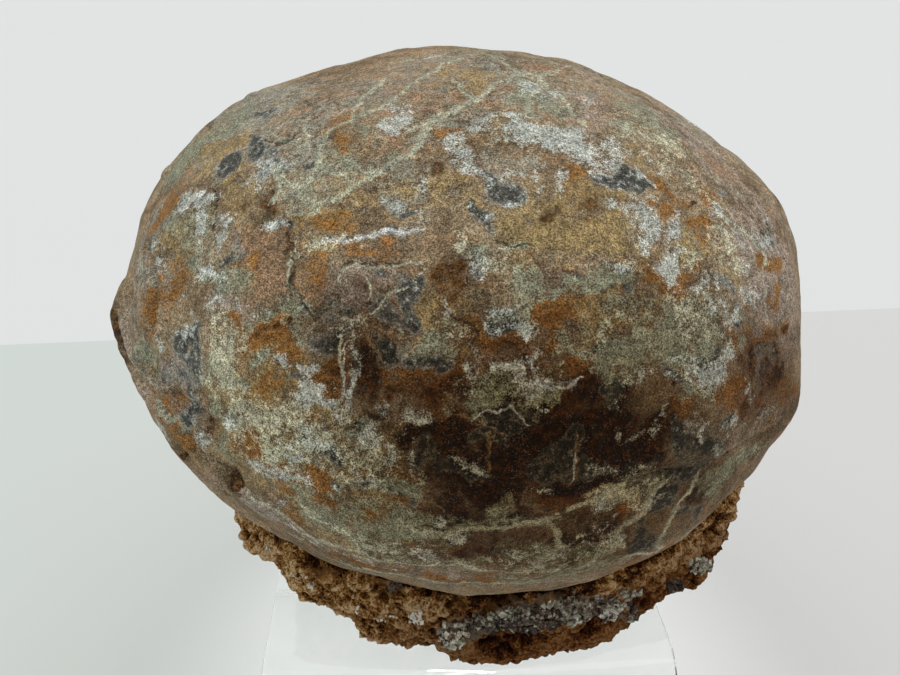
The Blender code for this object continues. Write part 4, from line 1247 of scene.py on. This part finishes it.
def line_fields(surface, places, outward, rng):
    """How far each place is from each kind of line, in mm, with and without its sign."""
    hidden = hidden_lines(surface, sum(count for _, count in LINES.values()), rng)
    fields = {}
    for name, (lines, count) in LINES.items():
        drawn = seen_lines(surface, lines, rng) + hidden[:count]
        hidden = hidden[count:]
        apart = line_distance(places, outward, drawn, LINE_REACH) / MM
        fields[name + "_mm"] = apart
        fields[name + "_near"] = np.abs(apart)
    return fields


def make_egg(material):
    """The egg's shell. It gives back its smooth surface, from which the rock's painted shade near
    the shell is measured.
    """
    rng = random.Random(EGG_SEED)
    surface = smoothed_surface("egg", levels=2)
    directions, mesh = crowded_directions()
    places = np.array([tuple(surface.ray_cast(MIDDLE, Vector(way))[0]) for way in directions])
    rise = shell_relief(surface, places, directions, rng)
    fields = stain_fields(surface, places, rng)
    fields.update(line_fields(surface, places, directions, rng))
    for name, values in fields.items():
        store_field(mesh, name, values)
    set_places(mesh, places + directions * rise[:, None])
    mesh.shade_smooth()
    egg = new_object("egg_shell", mesh, material)
    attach(egg, "root")
    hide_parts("egg")
    return surface


# ---------------------------------------------------------------- the rock

# Seams of crystals in the rock: (x, y, half width, half height, how many, size in mm, least and
# most paleness).
SEAMS = (
    (490, 622, 28, 9, 120, 1.8, -0.2, 0.5), (530, 619, 34, 13, 170, 1.9, -0.2, 0.6),
    (565, 612, 26, 12, 120, 2.1, 0.0, 0.7), (455, 634, 16, 16, 90, 1.5, 0.2, 0.9),
    (600, 608, 24, 11, 120, 2.3, 0.1, 0.9), (700, 566, 11, 8, 60, 1.7, 0.3, 0.8),
    (675, 586, 7, 6, 34, 2.4, 0.0, 0.15), (311, 585, 4, 4, 9, 1.1, 1.2, 1.5),
    (357, 609, 3, 5, 7, 1.1, 1.2, 1.5), (416, 618, 9, 6, 18, 1.3, 0.8, 1.5),
    (268, 548, 3, 8, 7, 1.0, 0.9, 1.3), (395, 585, 8, 4, 14, 1.2, 0.0, 0.4),
    (630, 595, 10, 4, 22, 1.8, 0.3, 0.7), (632, 612, 5, 10, 26, 2.2, 0.1, 0.5),
    (300, 575, 10, 3, 8, 0.9, 1.1, 1.5), (385, 618, 12, 4, 9, 1.0, 1.1, 1.5),
)
VOXEL = 0.71 * MM
ROCK_CLEARANCE = 0.1 * MM
# How high above the riser the rock's crumb starts and is full.
CRUMB_RISE = (0.2 * MM, 3.0 * MM)
# The rock's relief. Waves are (wavelength, height, offset), in mm.
LUMP_WAVES = ((7.0, 1.5, 3.0), (3.2, 0.8, 7.0), (1.5, 0.8, 9.0))
RIDGE_WAVES = ((2.6, 1.7, 15.0),)
RIDGE_TOP = 0.4 * MM
CREVICE_WAVELENGTH = 5.0 * MM
CREVICE_OFFSET = 12.0
CREVICE_RIM = (0.14, 0.0)
CREVICE_DEPTH = 0.7 * MM
# How much less a pale seam colours the rock than a dark one.
PALE_SEAM_FADE = 0.4
# The rock's painted shade: its level on the even skin, the drop that darkens it by one, the most
# that it can be, and the painted shade that the shell adds within its reach.
HOLLOW_SHADE_LEVEL = 0.25
HOLLOW_SHADE_RISE = 2.0 * MM
HOLLOW_SHADE_MOST = 1.3
SHELL_SHADE = 0.6
SHELL_SHADE_REACH = (9 * MM, 1 * MM)


def rock_surface():
    """An even, fine mesh of the rock."""
    block = object_from("rounding", solid_copy("matrix_base"))
    remesh = block.modifiers.new("even skin", "REMESH")
    remesh.mode = "VOXEL"
    remesh.voxel_size = VOXEL
    mesh = evaluated_mesh(block)
    bpy.data.objects.remove(block, do_unlink=True)
    mesh.name = "matrix_rock"
    mesh.materials.clear()
    return mesh


def rock_relief(places):
    """How far the crumb raises the rock: lumps, sharp ridges and the crevices between them."""
    ridges = RIDGE_TOP - np.abs(layered_waves(places, RIDGE_WAVES))
    crevices = soft_step(*CREVICE_RIM, np.abs(waves(places, CREVICE_WAVELENGTH, CREVICE_OFFSET)))
    return layered_waves(places, LUMP_WAVES) + ridges - CREVICE_DEPTH * crevices


def make_rock(material, shell):
    mesh = rock_surface()
    places = vertex_vectors(mesh, "co")
    rise = rock_relief(places)
    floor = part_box("display_stand")[1].z + ROCK_CLEARANCE
    ground = soft_step(*CRUMB_RISE, places[:, 2] - floor)
    moved = places + vertex_vectors(mesh, "normal") * (rise * ground)[:, None]
    moved[:, 2] = np.maximum(moved[:, 2], floor)

    ovals = [(x, y, half_width, half_height, 0, 1.0 - PALE_SEAM_FADE * most)
             for x, y, half_width, half_height, _, _, _, most in SEAMS]
    block = smoothed_surface("matrix_base", levels=0)
    store_field(mesh, "seam", seen_cover(block, places, ovals))
    # Painted shade: deeper where the rock dips and close to the shell.
    from_shell = np.array([shell.find_nearest(Vector(place))[3] for place in places])
    painted_hollow_shade = HOLLOW_SHADE_LEVEL - rise / HOLLOW_SHADE_RISE
    painted_hollow_shade += SHELL_SHADE * soft_step(*SHELL_SHADE_REACH, from_shell)
    store_field(mesh, "painted_hollow_shade", np.clip(painted_hollow_shade, 0, HOLLOW_SHADE_MOST))
    set_places(mesh, moved)
    mesh.shade_smooth()
    rock = new_object("matrix_rock", mesh, material)
    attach(rock, "root")
    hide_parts("matrix_base")
    return rock


# A seen crystal's size is a share of its seam's. A block's sides, lean and depth are shares of
# its crystal's size.
CRYSTAL_SIZE = (0.5, 1.1)
BLOCK_SIZE = 0.8
BLOCK_WIDTH = (0.6, 1.0)
BLOCK_HEIGHT = (0.5, 0.9)
BLOCK_LEAN = 0.4
BLOCK_SUNK = 0.2
# Seams at the back and sides: a heading further to the front than the front one is turned round.
# Each pair is the least and the most.
HIDDEN_SEAMS = 9
HIDDEN_SEAM_COUNT = 26
HIDDEN_SEAM_RISE = (-0.15, 0.05)
HIDDEN_SEAM_PALENESS = (0.1, 0.9)
HIDDEN_SEAM_WIDTH = 0.09
HIDDEN_SEAM_HEIGHT = 0.05
HIDDEN_CRYSTAL_MM = (1.0, 2.6)
FRONT_HEADING = -0.5
SEAM_ABOVE_PLATE = 2 * MM


def seen_crystals(tree, rng):
    """(place, outward normal, size, paleness) of the crystals in the seams that are seen."""
    spots = []
    for x, y, half_width, half_height, count, size, least, most in SEAMS:
        for _ in range(count):
            turn = rng.uniform(0, 2 * math.pi)
            reach = math.sqrt(rng.random())
            pixel = (x + half_width * reach * math.cos(turn),
                     y + half_height * reach * math.sin(turn))
            point, normal, _, _ = tree.ray_cast(EYE, sight_line(pixel))
            if point is not None:
                size_here = size * MM * rng.uniform(*CRYSTAL_SIZE)
                spots.append((point, normal, size_here, rng.uniform(least, most)))
    return spots


def hidden_crystals(tree, rng):
    """(place, outward normal, size, paleness) of crystals in seams at the back and sides."""
    spots = []
    low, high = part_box("matrix_base")
    middle = (low + high) / 2
    for _ in range(HIDDEN_SEAMS):
        heading = rng.uniform(0, 2 * math.pi)
        if math.sin(heading) < FRONT_HEADING:
            heading = -heading
        rise = rng.uniform(*HIDDEN_SEAM_RISE)
        paleness = rng.uniform(*HIDDEN_SEAM_PALENESS)
        for _ in range(HIDDEN_SEAM_COUNT):
            turn = heading + rng.gauss(0, HIDDEN_SEAM_WIDTH)
            lift = rise + rng.gauss(0, HIDDEN_SEAM_HEIGHT)
            way = Vector((math.cos(turn), math.sin(turn), lift))
            point, normal, _, _ = tree.ray_cast(middle + way, -way)
            if point is not None and point.z > low.z + SEAM_ABOVE_PLATE:
                spots.append((point, normal, MM * rng.uniform(*HIDDEN_CRYSTAL_MM), paleness))
    return spots


def make_crystals(material, rock):
    """Small angular crystals, half sunk in the rock's seams."""
    rng = random.Random(CRYSTAL_SEED)
    tree = cast_tree(rock.data)
    crystals = bmesh.new()
    paleness = crystals.verts.layers.float.new("paleness")
    for point, normal, size, pale in seen_crystals(tree, rng) + hidden_crystals(tree, rng):
        grown = bmesh.ops.create_cube(crystals, size=size * BLOCK_SIZE)["verts"]
        shear = (rng.uniform(-BLOCK_LEAN, BLOCK_LEAN), rng.uniform(-BLOCK_LEAN, BLOCK_LEAN))
        lean = Matrix.Shear("XY", 3, shear)
        flat = Matrix.Diagonal((1.0, rng.uniform(*BLOCK_WIDTH), rng.uniform(*BLOCK_HEIGHT)))
        spin = Euler([rng.uniform(0, math.pi) for _ in range(3)]).to_matrix()
        bmesh.ops.transform(crystals, matrix=(spin @ lean @ flat).to_4x4(), verts=grown)
        bmesh.ops.translate(crystals, verts=grown, vec=point - normal * size * BLOCK_SUNK)
        for vert in grown:
            vert[paleness] = pale
    piece = object_from("calcite_crystals", crystals, material)
    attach(piece, "root")


# ---------------------------------------------------------------- the riser

# The riser's sheet, as its solid has it, with its edges eased.
SHEET = 3 * MM
BEND_RADIUS = 12 * MM
BEND_STEPS = 24
EDGE_ROUND = 0.12 * MM
EDGE_STEPS = 2
LEVEL_WITHIN = 0.1 * MM
RIM_ANGLE = math.radians(60)
SHARP_ANGLE = math.radians(40)


def bend(shape, height, radius):
    """Rounds the two long edges of the sheet at this height."""
    corners = [edge for edge in shape.edges
               if all(abs(vert.co.z - height) < LEVEL_WITHIN for vert in edge.verts)
               and abs(edge.verts[0].co.x - edge.verts[1].co.x) > SHEET]
    bmesh.ops.bevel(shape, geom=corners, offset=radius, affect="EDGES", segments=BEND_STEPS,
                    profile=0.5, material=-1)


def make_riser(material):
    """A bent sheet, open to the left and right. Its sawn feet keep their square edges."""
    low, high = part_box("display_stand")
    outline = ((low.y, low.z), (low.y, high.z), (high.y, high.z), (high.y, low.z),
               (high.y - SHEET, low.z), (high.y - SHEET, high.z - SHEET),
               (low.y + SHEET, high.z - SHEET), (low.y + SHEET, low.z))
    shape = bmesh.new()
    face = shape.faces.new([shape.verts.new((low.x, y, z)) for y, z in outline])
    grown = bmesh.ops.extrude_face_region(shape, geom=[face])["geom"]
    ends = [item for item in grown if isinstance(item, bmesh.types.BMVert)]
    bmesh.ops.translate(shape, verts=ends, vec=(high.x - low.x, 0, 0))
    bmesh.ops.recalc_face_normals(shape, faces=shape.faces)
    bend(shape, high.z - SHEET, BEND_RADIUS - SHEET)
    bend(shape, high.z, BEND_RADIUS)
    rims = [edge for edge in shape.edges if edge.calc_face_angle(0) > RIM_ANGLE
            and any(vert.co.z > low.z + SHEET for vert in edge.verts)]
    bmesh.ops.bevel(shape, geom=rims, offset=EDGE_ROUND, affect="EDGES", segments=EDGE_STEPS,
                    profile=0.5, material=-1)
    riser = object_from("riser", shape, material)
    riser.data.shade_smooth()
    riser.data.set_sharp_from_angle(angle=SHARP_ANGLE)
    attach(riser, "root")
    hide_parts("display_stand")
    riser.visible_shadow = False


# ---------------------------------------------------------------- the stage

# The table's far edge, where the camera sees it.
TABLE_EDGE = ((0, 345), (900, 308))
TABLE_SIZE = 7.0
TABLE_DROP = 0.02 * MM
# Ceiling panels that shine on the riser's bend: (x, y, length, width), in metres.
PANELS = ((-0.096, -1.02, 0.17, 0.115), (0.18, -1.34, 0.58, 0.13), (1.15, -2.92, 0.13, 0.25))
PANEL_HEIGHT = 2.2
PANEL_TURN = math.radians(-59)
PANEL_GLOW = 60.0
ROOM_COLOUR = (0.97, 1.0, 0.985, 1.0)
ROOM_STRENGTH = 0.57
OVERHEAD_COLOUR = (1.0, 0.99, 0.975)
OVERHEAD_ENERGY = 1.4
OVERHEAD_ANGLE = math.radians(110)
OVERHEAD_TURN = (math.radians(-12), math.radians(4), 0)


def on_table(pixel):
    """Where the camera sees a pixel on the table."""
    direction = sight_line(pixel)
    return EYE + direction * (EYE.z / -direction.z)


def make_stage(near_material, far_material):
    """One floor, its near part the table and its far part the backdrop."""
    table = bmesh.new()
    bmesh.ops.create_grid(table, x_segments=1, y_segments=1, size=TABLE_SIZE)
    bmesh.ops.translate(table, verts=table.verts, vec=(0, 0, -TABLE_DROP))
    left, right = (on_table(pixel) for pixel in TABLE_EDGE)
    away = Vector((left.y - right.y, right.x - left.x, 0)).normalized()
    everything = table.verts[:] + table.edges[:] + table.faces[:]
    bmesh.ops.bisect_plane(table, geom=everything, plane_co=left, plane_no=away)
    for face in table.faces:
        face.material_index = int((face.calc_center_median() - left).dot(away) > 0)
    floor = object_from("floor", table, near_material)
    floor.data.materials.append(far_material)


def make_light(name, kind, energy, turn):
    data = bpy.data.lights.new(name, kind)
    data.energy = energy
    light = bpy.data.objects.new(name, data)
    light.rotation_euler = turn
    bpy.context.scene.collection.objects.link(light)
    return light


def make_panel(name, x, y, length, width):
    """A lit ceiling panel, facing down, that only glossy things show."""
    energy = PANEL_GLOW * math.pi * length * width
    panel = make_light(name, "AREA", energy, (0, 0, PANEL_TURN))
    panel.data.shape = "RECTANGLE"
    panel.data.size = length
    panel.data.size_y = width
    panel.location = (x, y, PANEL_HEIGHT)
    panel.visible_diffuse = False


def make_lights():
    for index, panel in enumerate(PANELS):
        make_panel(f"ceiling panel {index + 1}", *panel)
    world = bpy.data.worlds.new("soft room")
    world.use_nodes = True
    background = world.node_tree.nodes["Background"]
    background.inputs["Color"].default_value = ROOM_COLOUR
    background.inputs["Strength"].default_value = ROOM_STRENGTH
    bpy.context.scene.world = world
    overhead = make_light("soft overhead", "SUN", OVERHEAD_ENERGY, OVERHEAD_TURN)
    overhead.data.angle = OVERHEAD_ANGLE
    overhead.data.color = OVERHEAD_COLOUR


def main():
    bpy.context.scene.view_settings.view_transform = "Standard"
    make_camera()
    surface = make_egg(shell_finish())
    rock = make_rock(rock_finish(), surface)
    make_crystals(crystal_finish(), rock)
    make_riser(acrylic_finish())
    make_stage(table_finish(), backdrop_finish())
    make_lights()


main()
